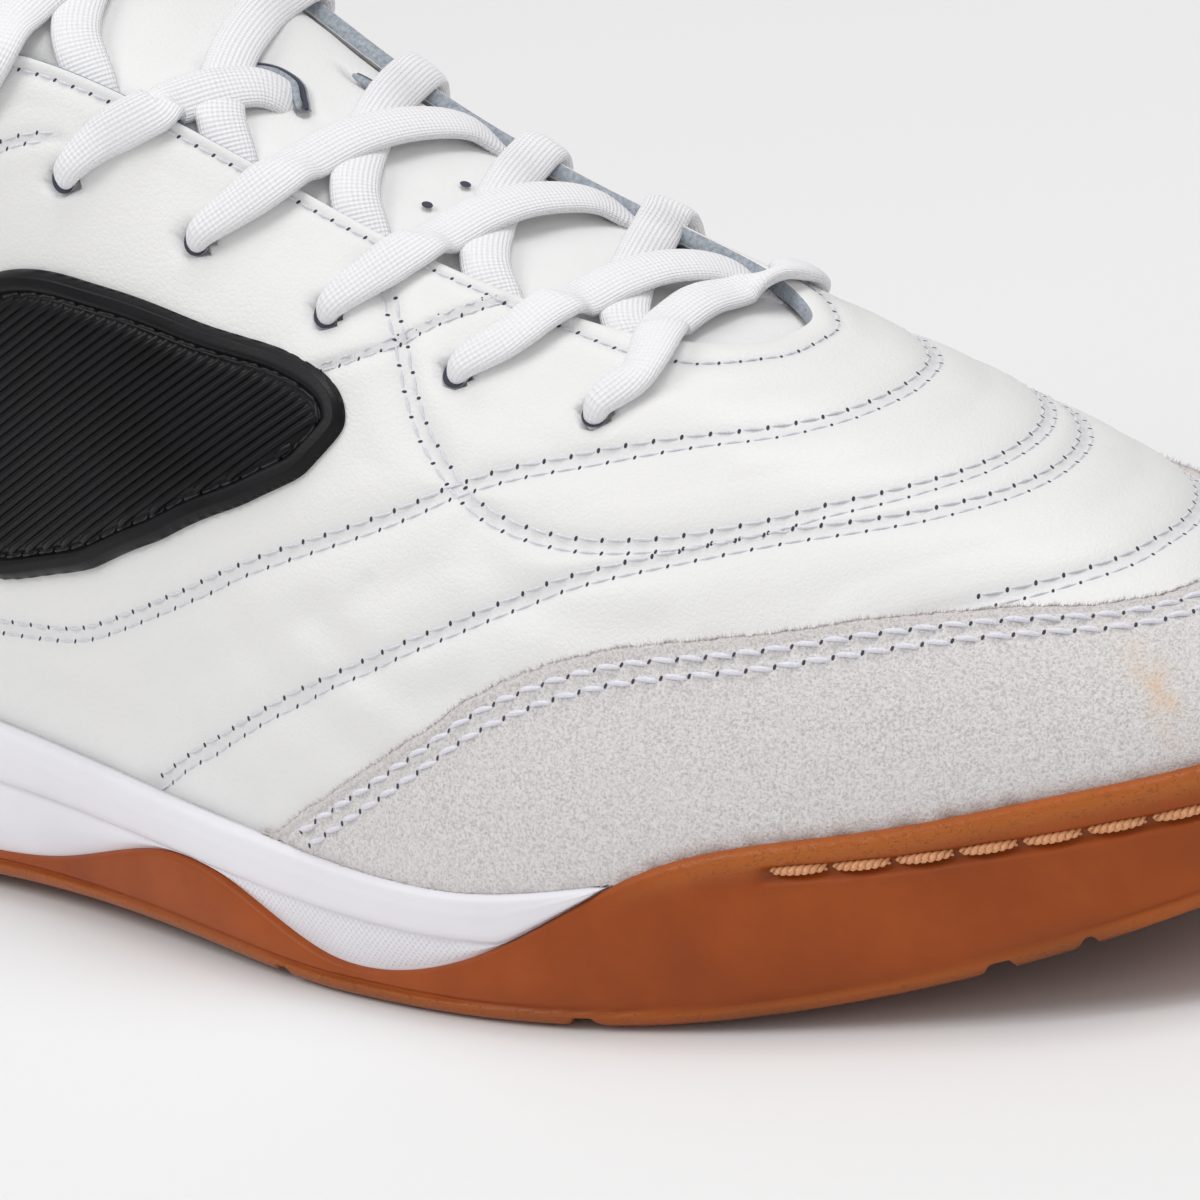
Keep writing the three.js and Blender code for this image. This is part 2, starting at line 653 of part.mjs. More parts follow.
// A flat strand along a path of points with the direction that its face turns to
function strandBody(path) {
  const curve = new THREE.CatmullRomCurve3(path.map(({ point }) => point));
  const faces = new THREE.CatmullRomCurve3(path.map(({ face }) => face));
  const half = LACE_WIDTH / 2;
  const thick = LACE_THICKNESS / 2;
  const outline = [
    [half, 0],
    [half * 0.7, -thick],
    [-half * 0.7, -thick],
    [-half, 0],
    [-half * 0.7, thick],
    [half * 0.7, thick],
  ];
  const rings = Array.from({ length: STRAND_SPANS + 1 }, (_, i) => {
    const f = i / STRAND_SPANS;
    const centre = curve.getPoint(f);
    const side = curve.getTangent(f).cross(faces.getPoint(f)).normalize();
    const face = side.clone().cross(curve.getTangent(f)).normalize();
    return outline.map(([a, b]) => centre.clone().addScaledVector(side, a).addScaledVector(face, b));
  });
  const first = rings[0];
  const last = rings[STRAND_SPANS];
  const ends = [1, 2, 3, 4].flatMap((i) => [
    [first[0], first[i + 1], first[i]],
    [last[0], last[i], last[i + 1]],
  ]);
  return bodyFrom([...skin(rings), ...ends]);
}

// A strand from an eyelet over its own side's edge to the edge of the far side. The way across
// ends under the far edge, or runs over it to the far eyelet where the strand is the front bar.
function strand(number, fromInner, ahead, farNumber, { lift = 0, endLift = 0, isBar = false }) {
  const flip = (s) => (fromInner ? STATIONS - s : s);
  const raised = LACE_CLEARANCE + LACE_THICKNESS / 2;
  const onUpper = (s, share, side) => {
    const at = side ? STATIONS - s : s;
    const lifted = share === 1 ? raised + EDGE_LIFT : raised;
    return { point: offUpper(at, share, lifted), face: upperNormal(at, share) };
  };
  const hole = EYELET_STATIONS[number];
  const farHole = EYELET_STATIONS[farNumber];
  const holeX = upperPoint(flip(hole), shareBelowEdge(flip(hole), EYELET_EDGE)).x;
  const farX = upperPoint(flip(farHole), shareBelowEdge(flip(farHole), EYELET_EDGE)).x;
  const near = edgeStation(holeX + ahead.near);
  const far = edgeStation(farX + ahead.far);
  const path = [
    onUpper(hole, shareBelowEdge(flip(hole), EYELET_EDGE), fromInner),
    onUpper(mix(hole, near, 0.5), shareBelowEdge(flip(hole), EYELET_EDGE / 2), fromInner),
    onUpper(near, 1, fromInner),
  ];
  const crossings = isBar ? [0.25, 0.5, 0.75] : [0.16, 0.38, 0.6, 0.86];
  crossings.forEach((way) => {
    const s = mix(near, far, way);
    const across = fromInner ? 1 - way : way;
    const point = archPoint(s, STATIONS - s, across);
    const face = archFace(s, across);
    const height = raised + lift * Math.sin(Math.PI * Math.min(1, way * 1.1)) + endLift * way ** 2;
    path.push({ point: point.addScaledVector(face, height), face });
  });
  if (isBar) {
    path.push(onUpper(far, 1, !fromInner));
    path.push(onUpper(farHole, shareBelowEdge(STATIONS - farHole, EYELET_EDGE), !fromInner));
  }
  return strandBody(path);
}

function archFace(station, across) {
  const small = 0.02;
  const along = archPoint(station + small, STATIONS - station - small, across).sub(
    archPoint(station - small, STATIONS - station + small, across),
  );
  const over = archPoint(station, STATIONS - station, Math.min(1, across + small)).sub(
    archPoint(station, STATIONS - station, Math.max(0, across - small)),
  );
  return along.cross(over).normalize();
}

// The front bar and every crossing joined in one piece
function laceBody() {
  let lace = solid(strand(0, false, FRONT_BAR, 0, { isBar: true }));
  for (let number = 1; number < EYELETS; number += 1) {
    lace = lace.add(solid(strand(number, true, INNER_STRAND, number - 1, { endLift: LACE_END_LIFT })));
    lace = lace.add(solid(strand(number, false, OUTER_STRAND, number - 1, { lift: LACE_LIFT })));
  }
  return geometryOf(lace);
}

add("outsole", outsoleBody(), colours.rubber, 0.55);
add("midsole", midsoleBody(0), colours.foam, 0.7);
add("insole", insoleBody(), colours.lining, 0.9);
add("upper", upperBody(), colours.leather, 0.5);
add("tongue", tongueBody(), colours.leather, 0.6);
add("toe_guard", guardBody(), colours.suede, 0.95);
add("side_panel_outer", panelBody(false), colours.black, 0.5);
add("side_panel_inner", panelBody(true), colours.black, 0.5);
add("lace", laceBody(), colours.lace, 0.8);

export default group;
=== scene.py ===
import math

import bpy
import numpy as np
from mathutils import Matrix, Vector
from mathutils.bvhtree import BVHTree


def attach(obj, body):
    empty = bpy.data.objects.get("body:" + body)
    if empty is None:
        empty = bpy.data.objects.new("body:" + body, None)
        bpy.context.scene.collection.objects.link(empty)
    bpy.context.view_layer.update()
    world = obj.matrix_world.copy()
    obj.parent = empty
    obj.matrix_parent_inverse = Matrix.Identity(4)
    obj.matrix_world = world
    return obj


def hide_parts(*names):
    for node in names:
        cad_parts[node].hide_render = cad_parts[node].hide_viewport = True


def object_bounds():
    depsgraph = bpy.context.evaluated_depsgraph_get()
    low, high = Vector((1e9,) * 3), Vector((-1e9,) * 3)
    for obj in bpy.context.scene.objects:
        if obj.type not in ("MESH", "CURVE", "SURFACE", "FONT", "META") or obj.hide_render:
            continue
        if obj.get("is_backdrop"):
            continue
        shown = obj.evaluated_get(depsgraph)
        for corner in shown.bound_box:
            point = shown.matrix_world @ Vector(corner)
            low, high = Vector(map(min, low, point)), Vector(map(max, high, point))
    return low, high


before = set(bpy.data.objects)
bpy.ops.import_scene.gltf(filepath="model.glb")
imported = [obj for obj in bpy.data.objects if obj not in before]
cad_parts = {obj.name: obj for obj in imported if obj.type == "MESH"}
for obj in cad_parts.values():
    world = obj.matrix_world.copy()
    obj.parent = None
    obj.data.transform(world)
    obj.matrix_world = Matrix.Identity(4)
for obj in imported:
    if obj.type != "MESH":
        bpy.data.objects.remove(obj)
CAD_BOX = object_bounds()

# Lengths here are in millimetres; MM turns them into Blender's metres.
MM = 0.001
LENGTH = 290.0
BALL_WIDTH = 104.0
INSTEP_HEIGHT = 104.0
HEEL_HEIGHT = 86.0
SOLE_HEIGHT = 32.0

# Walls and steps of the sole and the upper, as in the solids
UPPER_WALL = 2.0
FLANGE = 2.5
RUBBER_WALL = 2.0
FOOTBED_DROP = 5.5
UPPER_SINK = 2.0
STEP_IN = 0.9
STEP_SHARE = 0.62
LIP_LEAN = 0.28

# The tables of the shoe's form, the same as the solids are made from.
# Sole: share of length, outer and inner half-width, floor, outer and inner edge, rubber.
SOLE = (
    (0.0, 0.0, 0.0, 0.188, 1.0, 1.0, 0.48),
    (0.02, 0.178, 0.173, 0.113, 0.994, 0.994, 0.45),
    (0.07, 0.288, 0.284, 0.031, 0.969, 0.969, 0.38),
    (0.145, 0.344, 0.335, 0.0, 0.922, 0.938, 0.28),
    (0.24, 0.361, 0.337, 0.0, 0.859, 0.891, 0.22),
    (0.34, 0.365, 0.31, 0.038, 0.766, 0.828, 0.18),
    (0.44, 0.399, 0.303, 0.069, 0.666, 0.75, 0.24),
    (0.53, 0.45, 0.346, 0.05, 0.581, 0.641, 0.61),
    (0.61, 0.49, 0.409, 0.0, 0.519, 0.55, 0.26),
    (0.69, 0.5, 0.462, 0.0, 0.481, 0.506, 0.5),
    (0.77, 0.46, 0.476, 0.019, 0.569, 0.55, 1.06),
    (0.85, 0.375, 0.428, 0.106, 0.644, 0.644, 1.16),
    (0.92, 0.274, 0.337, 0.238, 0.75, 0.75, 1.13),
    (0.975, 0.149, 0.188, 0.375, 0.85, 0.85, 1.05),
    (1.0, 0.0, 0.0, 0.453, 0.906, 0.906, 1.03),
)
# Upper: x, y and z of the edge of collar and throat, then rise, lean, reach and drop.
OUTER = (
    (0.028, 0.0, 1.0, 0.25, 0.029, 0.029, 0.212),
    (0.038, -0.115, 0.988, 0.24, 0.029, 0.029, 0.212),
    (0.072, -0.212, 0.93, 0.212, 0.024, 0.038, 0.192),
    (0.141, -0.269, 0.802, 0.173, 0.029, 0.038, 0.154),
    (0.234, -0.303, 0.715, 0.135, 0.029, 0.038, 0.135),
    (0.314, -0.303, 0.673, 0.135, 0.019, 0.048, 0.154),
    (0.369, -0.269, 0.885, 0.154, 0.0, 0.067, 0.212),
    (0.421, -0.226, 0.981, 0.173, -0.01, 0.115, 0.212),
    (0.517, -0.183, 0.88, 0.183, 0.0, 0.135, 0.173),
    (0.597, -0.168, 0.779, 0.163, 0.01, 0.154, 0.125),
    (0.666, -0.154, 0.712, 0.154, 0.014, 0.173, 0.096),
    (0.71, -0.125, 0.675, 0.144, 0.019, 0.231, 0.096),
    (0.734, -0.082, 0.656, 0.135, 0.019, 0.298, 0.115),
    (0.747, -0.034, 0.646, 0.125, 0.019, 0.346, 0.135),
    (0.749, 0.014, 0.644, 0.115, 0.019, 0.365, 0.144),
)
INNER = (
    (0.028, 0.0, 1.0, 0.25, 0.029, 0.029, 0.212),
    (0.038, 0.115, 0.988, 0.24, 0.029, 0.029, 0.212),
    (0.072, 0.212, 0.93, 0.212, 0.024, 0.038, 0.192),
    (0.141, 0.269, 0.814, 0.173, 0.029, 0.038, 0.154),
    (0.234, 0.288, 0.756, 0.135, 0.029, 0.038, 0.135),
    (0.314, 0.279, 0.712, 0.135, 0.019, 0.048, 0.154),
    (0.369, 0.24, 0.899, 0.173, 0.0, 0.067, 0.212),
    (0.421, 0.188, 0.99, 0.212, -0.01, 0.096, 0.231),
    (0.517, 0.135, 0.885, 0.212, 0.0, 0.106, 0.192),
    (0.597, 0.12, 0.784, 0.202, 0.01, 0.115, 0.154),
    (0.666, 0.113, 0.716, 0.183, 0.014, 0.144, 0.125),
    (0.71, 0.101, 0.679, 0.163, 0.019, 0.202, 0.125),
    (0.734, 0.077, 0.658, 0.144, 0.019, 0.269, 0.135),
    (0.747, 0.048, 0.647, 0.125, 0.019, 0.327, 0.144),
    (0.749, 0.014, 0.644, 0.115, 0.019, 0.365, 0.144),
)
COLLAR_ROWS = 5  # first rows of OUTER and INNER, measured by the heel's height
TOE = len(SOLE) - 1
STATIONS = 2 * TOE

# Camera, floor and light. The lights' places, sizes and aim are in metres.
CAMERA_AZIMUTH = 40.58
CAMERA_ELEVATION = 19.08
CAMERA_ROLL = 8.47
CAMERA_DISTANCE = 1000.0
CAMERA_PIXELS = 8680.0  # focal length in pixels of the 1200-pixel frame
FRAME_PIXELS = 1200.0
CAMERA_TARGET = (55.0, -18.75, 40.0)
CAMERA_OFFSET = (1.86, 2.1)
SENSOR = 36.0
FLOOR_COLOUR = (0.86, 0.86, 0.86)
WORLD_STRENGTH = 0.43
LIGHTS = (  # name, place, size and power
    ("key", (-0.7, -1.1, 1.5), 1.0, 13.0),
    ("fill", (1.4, -0.9, 0.9), 1.2, 2.6),
    ("top", (0.35, 0.35, 1.8), 0.9, 12.5),
)
LIGHT_AIM = (0.03, 0.0, 0.04)

# Colours that change over a material's noise: place on the scale and colour
SUEDE_COLOURS = ((0.34, (0.575, 0.55, 0.54)), (0.47, (0.725, 0.70, 0.69)), (0.62, (0.83, 0.805, 0.80)))
RUBBER_COLOURS = ((0.3, (0.275, 0.049, 0.003)), (0.5, (0.33, 0.061, 0.004)), (0.72, (0.40, 0.08, 0.006)))
CUT_EDGE_COLOURS = ((0.3, (0.22, 0.25, 0.29)), (0.6, (0.42, 0.46, 0.51)), (0.8, (0.58, 0.61, 0.65)))

# Upper: grid, seams, creases, collar and eyelets
UPPER_GRID = (640, 146)  # columns round the shoe and rows up the leather
LINING_COLUMNS = 260
# Double rows of stitches, as pairs of station and share of the way up the upper.
VAMP_ROW = ((4.4, 0.27), (5.2, 0.255), (5.83, 0.25), (6.31, 0.257), (6.67, 0.286), (7.05, 0.324),
            (7.44, 0.37), (8.17, 0.472), (8.91, 0.572), (9.3, 0.625), (9.81, 0.68), (10.98, 0.78),
            (12.74, 0.855), (14.0, 0.87))
LOW_ROW = ((6.7, 0.03), (6.99, 0.104), (7.35, 0.168), (8.07, 0.286), (8.79, 0.394), (9.41, 0.468),
           (9.96, 0.525), (11.0, 0.605), (11.71, 0.635), (13.0, 0.67), (14.0, 0.68))
SADDLE_ROW = ((8.93, 0.93), (8.97, 0.89), (9.02, 0.82), (9.05, 0.73), (9.13, 0.67), (9.39, 0.60),
              (9.85, 0.573), (10.38, 0.585), (11.02, 0.625), (11.81, 0.675), (12.86, 0.715),
              (14.0, 0.73))
TOE_ROW = ((11.6, 0.455), (12.0, 0.48), (12.96, 0.505), (13.59, 0.515), (14.0, 0.52))
ROW_GAP = 1.45  # between the two rows
# The leather along double rows and single seams: height, distance from the seam and width.
ROW_RELIEF = ((-0.42, 0.0, 1.35), (0.24, 4.6, 2.8))
SINGLE_RELIEF = ((-0.22, 0.0, 0.7), (0.1, 2.2, 1.6))
SEAM_SIDES = (0.55, -0.55)  # single seams have a line of stitches on each side
EYESTAY_STEP = 0.45  # the piece round the eyelets lies this much over the vamp
EYESTAY_SEAM = ((8.3, 0.69), (8.46, 0.72), (9.02, 0.815), (9.79, 0.985))
QUARTER_SEAM = ((6.0, 0.82), (6.4, 0.835), (6.84, 0.86), (7.23, 0.885))
HEEL_ROW = ((0.0, 0.62), (1.4, 0.61), (2.3, 0.56), (3.0, 0.42), (3.5, 0.24), (3.8, 0.05))
THROAT_ROW = ((6.9, 1.7), (9.6, 1.7), (10.3, 2.6), (10.8, 4.2), (11.5, 4.4), (12.4, 3.3),
              (14.0, 3.0))  # station and distance below the edge
COLLAR_STITCH = 7.0  # collar stitching below the edge
THROAT_START = 6.2  # station where the padded collar turns into the thin throat
THROAT_SEARCH = 5.5  # station behind which no eyelet or strand lies
COLLAR_PAD = 6.5
COLLAR_PAD_DEPTH = (16.0, 26.0)  # where the padding starts to thin, and over what height
# Soft creases: station and share pairs, depth and half-width in millimetres.
CREASES = (
    (((8.6, 0.468), (8.48, 0.438), (8.39, 0.408), (8.3, 0.378), (8.22, 0.344)), 0.15, 0.75),
    (((8.69, 0.49), (8.57, 0.456), (8.46, 0.422)), 0.12, 0.65),
    (((8.97, 0.446), (8.87, 0.426), (8.75, 0.4)), 0.1, 0.65),
    (((9.3, 0.56), (9.7, 0.47), (10.3, 0.46)), 0.25, 2.6),
    (((8.2, 0.39), (8.7, 0.33), (9.1, 0.36)), 0.28, 2.4),
    (((7.5, 0.36), (7.9, 0.27), (8.5, 0.23)), 0.3, 2.8),
    (((6.9, 0.22), (7.2, 0.13), (7.5, 0.08)), 0.3, 2.6),
    (((9.5, 0.75), (10.1, 0.71), (10.9, 0.72)), 0.2, 2.2),
    (((5.6, 0.17), (6.2, 0.13), (6.8, 0.14)), 0.25, 3.0),
    (((18.4, 0.58), (18.0, 0.5), (17.2, 0.49)), 0.3, 2.8),
    (((20.4, 0.36), (19.9, 0.28), (19.3, 0.27)), 0.3, 2.8),
    (((4.2, 0.62), (4.8, 0.7), (5.4, 0.66)), 0.35, 4.0),
    (((23.6, 0.62), (23.1, 0.7), (22.6, 0.66)), 0.35, 4.0),
)
EYELETS = 6
FIRST_EYELET = 0.211  # share of the length, from the middle towards the toe
EYELET_PITCH = 18.3
EYELET_EDGE = 15.0  # below the throat's edge
EYELET_RADIUS = 1.9
EYELET_DISC = (0.94, 0.84)  # half-lengths of the painted shade inside, as shares of the radius

# Sole: rubber, foam and insole
OUTSOLE_COLUMNS = 900
GROOVE_START = 10.55  # station where the toe wrap's stitched groove begins
# The groove's station and its depth below the top of the toe wrap.
GROOVE_DROP = ((10.5, 3.1), (11.4, 4.0), (12.0, 4.6), (12.8, 4.9), (14.0, 5.1))
GROOVE_WIDTH = 1.75
GROOVE_DEPTH = 1.05
TREAD_PITCH = 14.0
TREAD_GROOVE = 2.4
TREAD_DEPTH = 1.6
TREAD_ROWS = 60
TREAD_RIM = 5.0  # plain rim left round the tread
# Grooves that cut through the rim: their place along the shoe and their width.
SIDE_NOTCHES = ((-112.0, 2.6), (-77.0, 2.6), (24.0, 2.6), (68.9, 3.6), (115.1, 2.8), (124.0, 1.6))
MIDSOLE_COLUMNS = 560
FOAM_TOP = ((0.6, 0.0), (1.3, 0.0), (2.2, 0.3), (2.3, 3.0))  # inset and drop, round the foam's top edge
DOT_PITCH = 0.85  # of the fine net of dots on the foam, in millimetres
INSOLE_COLUMNS = 300
INSOLE_ROWS = ((0.3, 0.35), (0.3, 2.95), (0.8, 3.95), (1.9, 4.35))  # inset and height

# Suede guard
GUARD_ROWS = 44
GUARD_COLUMNS = 520
GUARD_START = 7.56
GUARD_THICKNESS = 1.35
GUARD_SHARE_LENGTH = 105.0  # millimetres up the upper that a share of 1 stands for
# The guard's cut edge: pairs of station and share of the way up the upper.
GUARD_EDGE = ((7.6, 0.03), (8.1, 0.14), (8.7, 0.26), (9.3, 0.36), (10.0, 0.42), (10.7, 0.445),
              (11.5, 0.47), (12.3, 0.465), (13.1, 0.435), (14.0, 0.43))
INNER_GUARD_DIP = (15.9, 1.2, 0.055)  # station, width and depth of the guard's lower inner edge
GUARD_SEWN_FROM = 7.9  # station where its stitches begin
GUARD_STITCHES = (2.0, 4.1)  # the two rows' distances from the cut edge
FUZZ_ROWS = ((-2, 5200, 1.0), (0, 4200, -0.6))  # row of points, fibres and their way up
FUZZ_SEED = 77
FUZZ_CENTRE = (60.0, 0.0, 10.0)  # the fibres point away from it
STAIN_PLACE = (12.75, 0.27)  # station and share

# Side panels
# The panel's outline: station, and the share of the way up of its low and its high edge.
PANEL = ((5.0, 0.44, 0.65), (5.05, 0.39, 0.69), (5.2, 0.355, 0.71), (6.0, 0.335, 0.725),
         (6.6, 0.355, 0.715), (7.2, 0.41, 0.7), (7.8, 0.49, 0.705), (8.25, 0.565, 0.725),
         (8.5, 0.63, 0.72), (8.6, 0.66, 0.7))
PANEL_COLUMNS = 520
PANEL_SCALE = np.array([17.0, 100.0])  # millimetres a station and a share stand for
PANEL_CENTRE = (5.9, 8.05)  # stations between which the panel's middle line runs
PANEL_RIB_PITCH = 1.1
RIB_SLOPE = 32.0  # of the ribs above the level, in degrees
RIB_SECTION = np.array([(-0.5, -0.1), (-0.34, 0.34), (0.0, 0.5), (0.34, 0.34), (0.5, -0.1)])
RIB_BASE = 1.27
PANEL_BORDER = 3.2
PANEL_STITCH_INSET = 2.9

# Tongue
LAY_CLEARANCE = 0.5
TONGUE_ARCH = 0.22
TONGUE_GRID = (110, 12, 56)  # spans along, steps under each edge and steps across
TONGUE_FREE_ROWS = 56
TONGUE_RISE = 34.0
TONGUE_THICKNESS = 4.0
TONGUE_PAD = 0.9  # padding that the free top has more
TONGUE_OVERLAP = 13.0
TONGUE_TOP_OVERLAP = 5.0
# The free top: share of the rise backward and upward, half-width and arch, from low to high.
TONGUE_END = ((0.26, 0.2, 0.7, 0.24), (0.5, 0.43, 0.8, 0.24), (0.69, 0.67, 0.83, 0.22),
              (0.81, 0.86, 0.78, 0.18), (0.87, 0.96, 0.62, 0.12), (0.89, 1.0, 0.36, 0.06))
TONGUE_STITCH = 4.2
# Punched holes and slits: pairs of station and share of the way across the throat.
PERFORATION_PAIRS = ((9.07, 0.34), (9.1, 0.53), (10.16, 0.36), (10.22, 0.54))
SLITS = (
    ((7.86, 0.35), (7.89, 0.42), (7.94, 0.47), (8.0, 0.5), (8.09, 0.5), (8.16, 0.46), (8.22, 0.42)),
    ((8.15, 0.73), (8.24, 0.74), (8.35, 0.75)),
)
# The slits' two lips: place across and up, width, height and sides. Then the dark opening, a strip of
# painted shade.
SLIT_LIPS = ((0.65, 0.1, 1.3, 1.0, 12), (-0.8, -0.2, 0.5, 0.6, 8))
SLIT_OPENING = (-0.3, 1.0, 0.5)
PERFORATION = (0.7, 0.62)  # half-lengths of a punched hole's disc of painted shade

# Laces
LACE_WIDTH = 6.0
LACE_THICKNESS = 1.9
LACE_CLEARANCE = 0.2
LACE_LIFT = 1.3
BRAID_PITCH = 1.15
BUNCHED = (1.25, 1.2)  # half width and half thickness in an eyelet
OUTER_STRAND = (8.0, 0.0)  # how far ahead of its eyelets a strand meets the near and far edge
INNER_STRAND = (4.0, 1.0)
FRONT_BAR = (1.5, 3.0)
BAR_WAY = ((0.25, 0), (0.5, 0), (0.75, 0))  # share of the way across, and how much lower
STRAND_WAY = ((0.16, 0), (0.38, 0), (0.6, 0), (0.82, -0.1))
HOLE_PATH = ((-3.2, -0.3), (-0.6, -0.1), (1.0, 1.2))  # out of the leather and over it
HIDDEN_END = ((0.6, 2.6), (5.5, 3.2))  # below the throat's edge and under the leather's face
HIDDEN_FLAT = 0.45  # share that a strand flattens where the throat's edge presses on it
SLIT_STRAND = 4  # the outer strand that runs into the slit of the tongue
SLIT_START = (10.0, 0.0)
# The way of that strand: station, share of the way across and height over the arch.
SLIT_PATH = ((7.8, 0.08, 1.4), (7.93, 0.24, 1.7), (8.04, 0.37, 1.1), (8.13, 0.43, -0.6),
             (8.2, 0.45, -3.5))

# Stitches: pitch, share of it before the first, width, height, lift, slant and the hole's halves
FIRST_ROW_STITCH = (3.3, 0.1, 0.3, 0.3, 0.1, 0.0, 0.3, 0.18)
SECOND_ROW_STITCH = (3.3, 0.6, 0.34, 0.32, 0.12, 0.25, 0.33, 0.2)
SEAM_STITCH = (2.6, 0.3, 0.3, 0.3, 0.1, 0.0, 0.3, 0.16)
EDGE_STITCH = (2.5, 0.0, 0.34, 0.3, 0.12, 0.0, 0.32, 0.18)
GUARD_STITCH = (3.4, 0.0, 0.66, 0.6, 0.26, 0.6, 0.34, 0.2)
PANEL_STITCH = (3.0, 0.2, 0.55, 0.5, 0.2, 0.2)
STITCH_LENGTH = 0.86  # share of the pitch
GUM_STITCH = 7.0  # pitch of the stitches in the toe wrap's groove, at least
GUM_LENGTH = 0.93  # share of a gum stitch's pitch that the thread takes
GUM_MARGIN = 0.6  # free at each end of the groove
GUM_TWIST = 1.7  # length in which the two plies turn once

# Sums that many shapes share


def bell(distance, width, power=2):
    """1 at no distance, and softly down to 0 beyond the width."""
    return np.exp(-((distance / width) ** power))


def bumps(distance, shape):
    """The sum of several bells, each with its height, place and width."""
    return sum(height * bell(distance - place, width) for height, place, width in shape)


def ramp_up(value, width=1.0):
    """0 up to a value of 0, 1 from the width on, and even between."""
    return np.clip(value / width, 0, 1)


def soften(share):
    """The same share, with a soft start and a soft end."""
    return share * share * (3 - 2 * share)


def bezier(a, b, c, d, t):
    w = 1 - t
    return w**3 * a + 3 * w * w * t * b + 3 * w * t * t * c + t**3 * d


def between(a, b, c, d, t):
    """A point between the middle two of four, on a smooth curve through them (Catmull-Rom)."""
    square = (2 * a - 5 * b + 4 * c - d) * t**2
    return 0.5 * (2 * b + (c - a) * t + square + (3 * b - a - 3 * c + d) * t**3)


def run_along(points):
    """Length run from the first point of a line, or of each column of a grid."""
    steps = np.linalg.norm(np.diff(points, axis=0), axis=-1)
    return np.concatenate([np.zeros_like(steps[:1]), np.cumsum(steps, axis=0)])


def read_line(line, run, at):
    """Points of a line at given lengths along it."""
    return np.stack([np.interp(at, run, line[:, k]) for k in range(line.shape[1])], -1)


def read_columns(wanted, grid, values):
    """The value at which each column of a grid reaches what is wanted of it."""
    return np.array([np.interp(w, column, values) for w, column in zip(wanted, grid.T)])


def side_of(u):
    """The outer station that mirrors an inner one, and outer stations as they are."""
    return np.minimum(u, STATIONS - u)


def station_reader(inner):
    """Leaves outer stations as they are, or mirrors them for the inner side."""
    return (lambda u: STATIONS - u) if inner else (lambda u: u)


# The shoe's form, read at any station and share


def smooth_loop(values):
    """A smooth closed curve through one value a station."""
    values = np.array(values, float)
    count = len(values)
    matrix = 4 * np.eye(count) + np.roll(np.eye(count), 1, 1) + np.roll(np.eye(count), -1, 1)
    turn = 6 * (np.roll(values, -1) - 2 * values + np.roll(values, 1))
    bend = np.linalg.solve(matrix, turn)

    def read(station):
        station = np.asarray(station, float)
        whole = np.floor(station)
        i = whole.astype(int) % count
        j = (i + 1) % count
        f = station - whole
        g = 1 - f
        curve = ((g**3 - g) * bend[i] + (f**3 - f) * bend[j]) / 6
        return values[i] * g + values[j] * f + curve

    return read


def loop(outer, inner):
    """The outer side's values and, back from the toe, the inner side's."""
    return smooth_loop(list(outer) + list(inner)[TOE - 1 : 0 : -1])


def sole_column(number, scale=SOLE_HEIGHT, inner=None):
    return loop([r[number] * scale for r in SOLE], [r[inner or number] * scale for r in SOLE])


def upper_column(number):
    return loop([r[number] * INSTEP_HEIGHT for r in OUTER], [r[number] * INSTEP_HEIGHT for r in INNER])


CENTRE_SHIFT = (SOLE[9][1] - SOLE[10][2]) / 2 * BALL_WIDTH
side_x = loop([(r[0] - 0.5) * LENGTH for r in SOLE], [(r[0] - 0.5) * LENGTH for r in SOLE])
side_y = loop(
    [CENTRE_SHIFT - r[1] * BALL_WIDTH for r in SOLE],
    [CENTRE_SHIFT + r[2] * BALL_WIDTH for r in SOLE],
)
floor_loop = sole_column(3)
side_edge = sole_column(4, inner=5)
rubber_share = sole_column(6, 1.0)
edge_x = loop([(r[0] - 0.5) * LENGTH for r in OUTER], [(r[0] - 0.5) * LENGTH for r in INNER])
edge_y = loop(
    [CENTRE_SHIFT + r[1] * BALL_WIDTH for r in OUTER],
    [CENTRE_SHIFT + r[1] * BALL_WIDTH for r in INNER],
)


def edge_heights(rows):
    return [r[2] * (HEEL_HEIGHT if i < COLLAR_ROWS else INSTEP_HEIGHT) for i, r in enumerate(rows)]


edge_z = loop(edge_heights(OUTER), edge_heights(INNER))
rise, lean, reach, drop = (upper_column(number) for number in (3, 4, 5, 6))


def side_floor(u):
    return np.maximum(0.0, floor_loop(u))


def rubber_top(u):
    low = side_floor(u)
    return low + (side_edge(u) - low) * rubber_share(u)


def footbed(u):
    return side_edge(u) - FOOTBED_DROP


def unit(v):
    return v / np.maximum(np.linalg.norm(v, axis=-1, keepdims=True), 1e-12)


def outward(u):
    small = 1e-3
    dx = side_x(u + small) - side_x(u - small)
    dy = side_y(u + small) - side_y(u - small)
    return unit(np.stack([dy, -dx, np.zeros_like(dx)], -1))


def sole_point(u, inset, z):
    """A point on the sole's side, set in from its outline."""
    u, inset, z = np.broadcast_arrays(np.asarray(u, float), inset, z)
    place = np.stack([side_x(u), side_y(u), z], -1)
    return place - outward(u) * inset[..., None]


def upper_point(u, v):
    """A point on the upper's outside, from its foot (0) to the edge of collar and throat (1)."""
    u, v = np.broadcast_arrays(np.asarray(u, float), np.asarray(v, float))
    foot = sole_point(u, FLANGE, side_edge(u) - UPPER_SINK)
    edge = np.stack([edge_x(u), edge_y(u), edge_z(u)], -1)
    low = foot + outward(u) * lean(u)[..., None]
    low[..., 2] += rise(u)
    away = foot - edge
    away[..., 2] = 0
    high = edge + unit(away) * reach(u)[..., None]
    high[..., 2] -= drop(u)
    return bezier(foot, low, high, edge, v[..., None])


def upper_normal(u, v):
    small = 2e-3
    v = np.clip(v, small, 1 - small)
    along = upper_point(u + small, v) - upper_point(u - small, v)
    up = upper_point(u, v + small) - upper_point(u, v - small)
    return unit(np.cross(along, up))


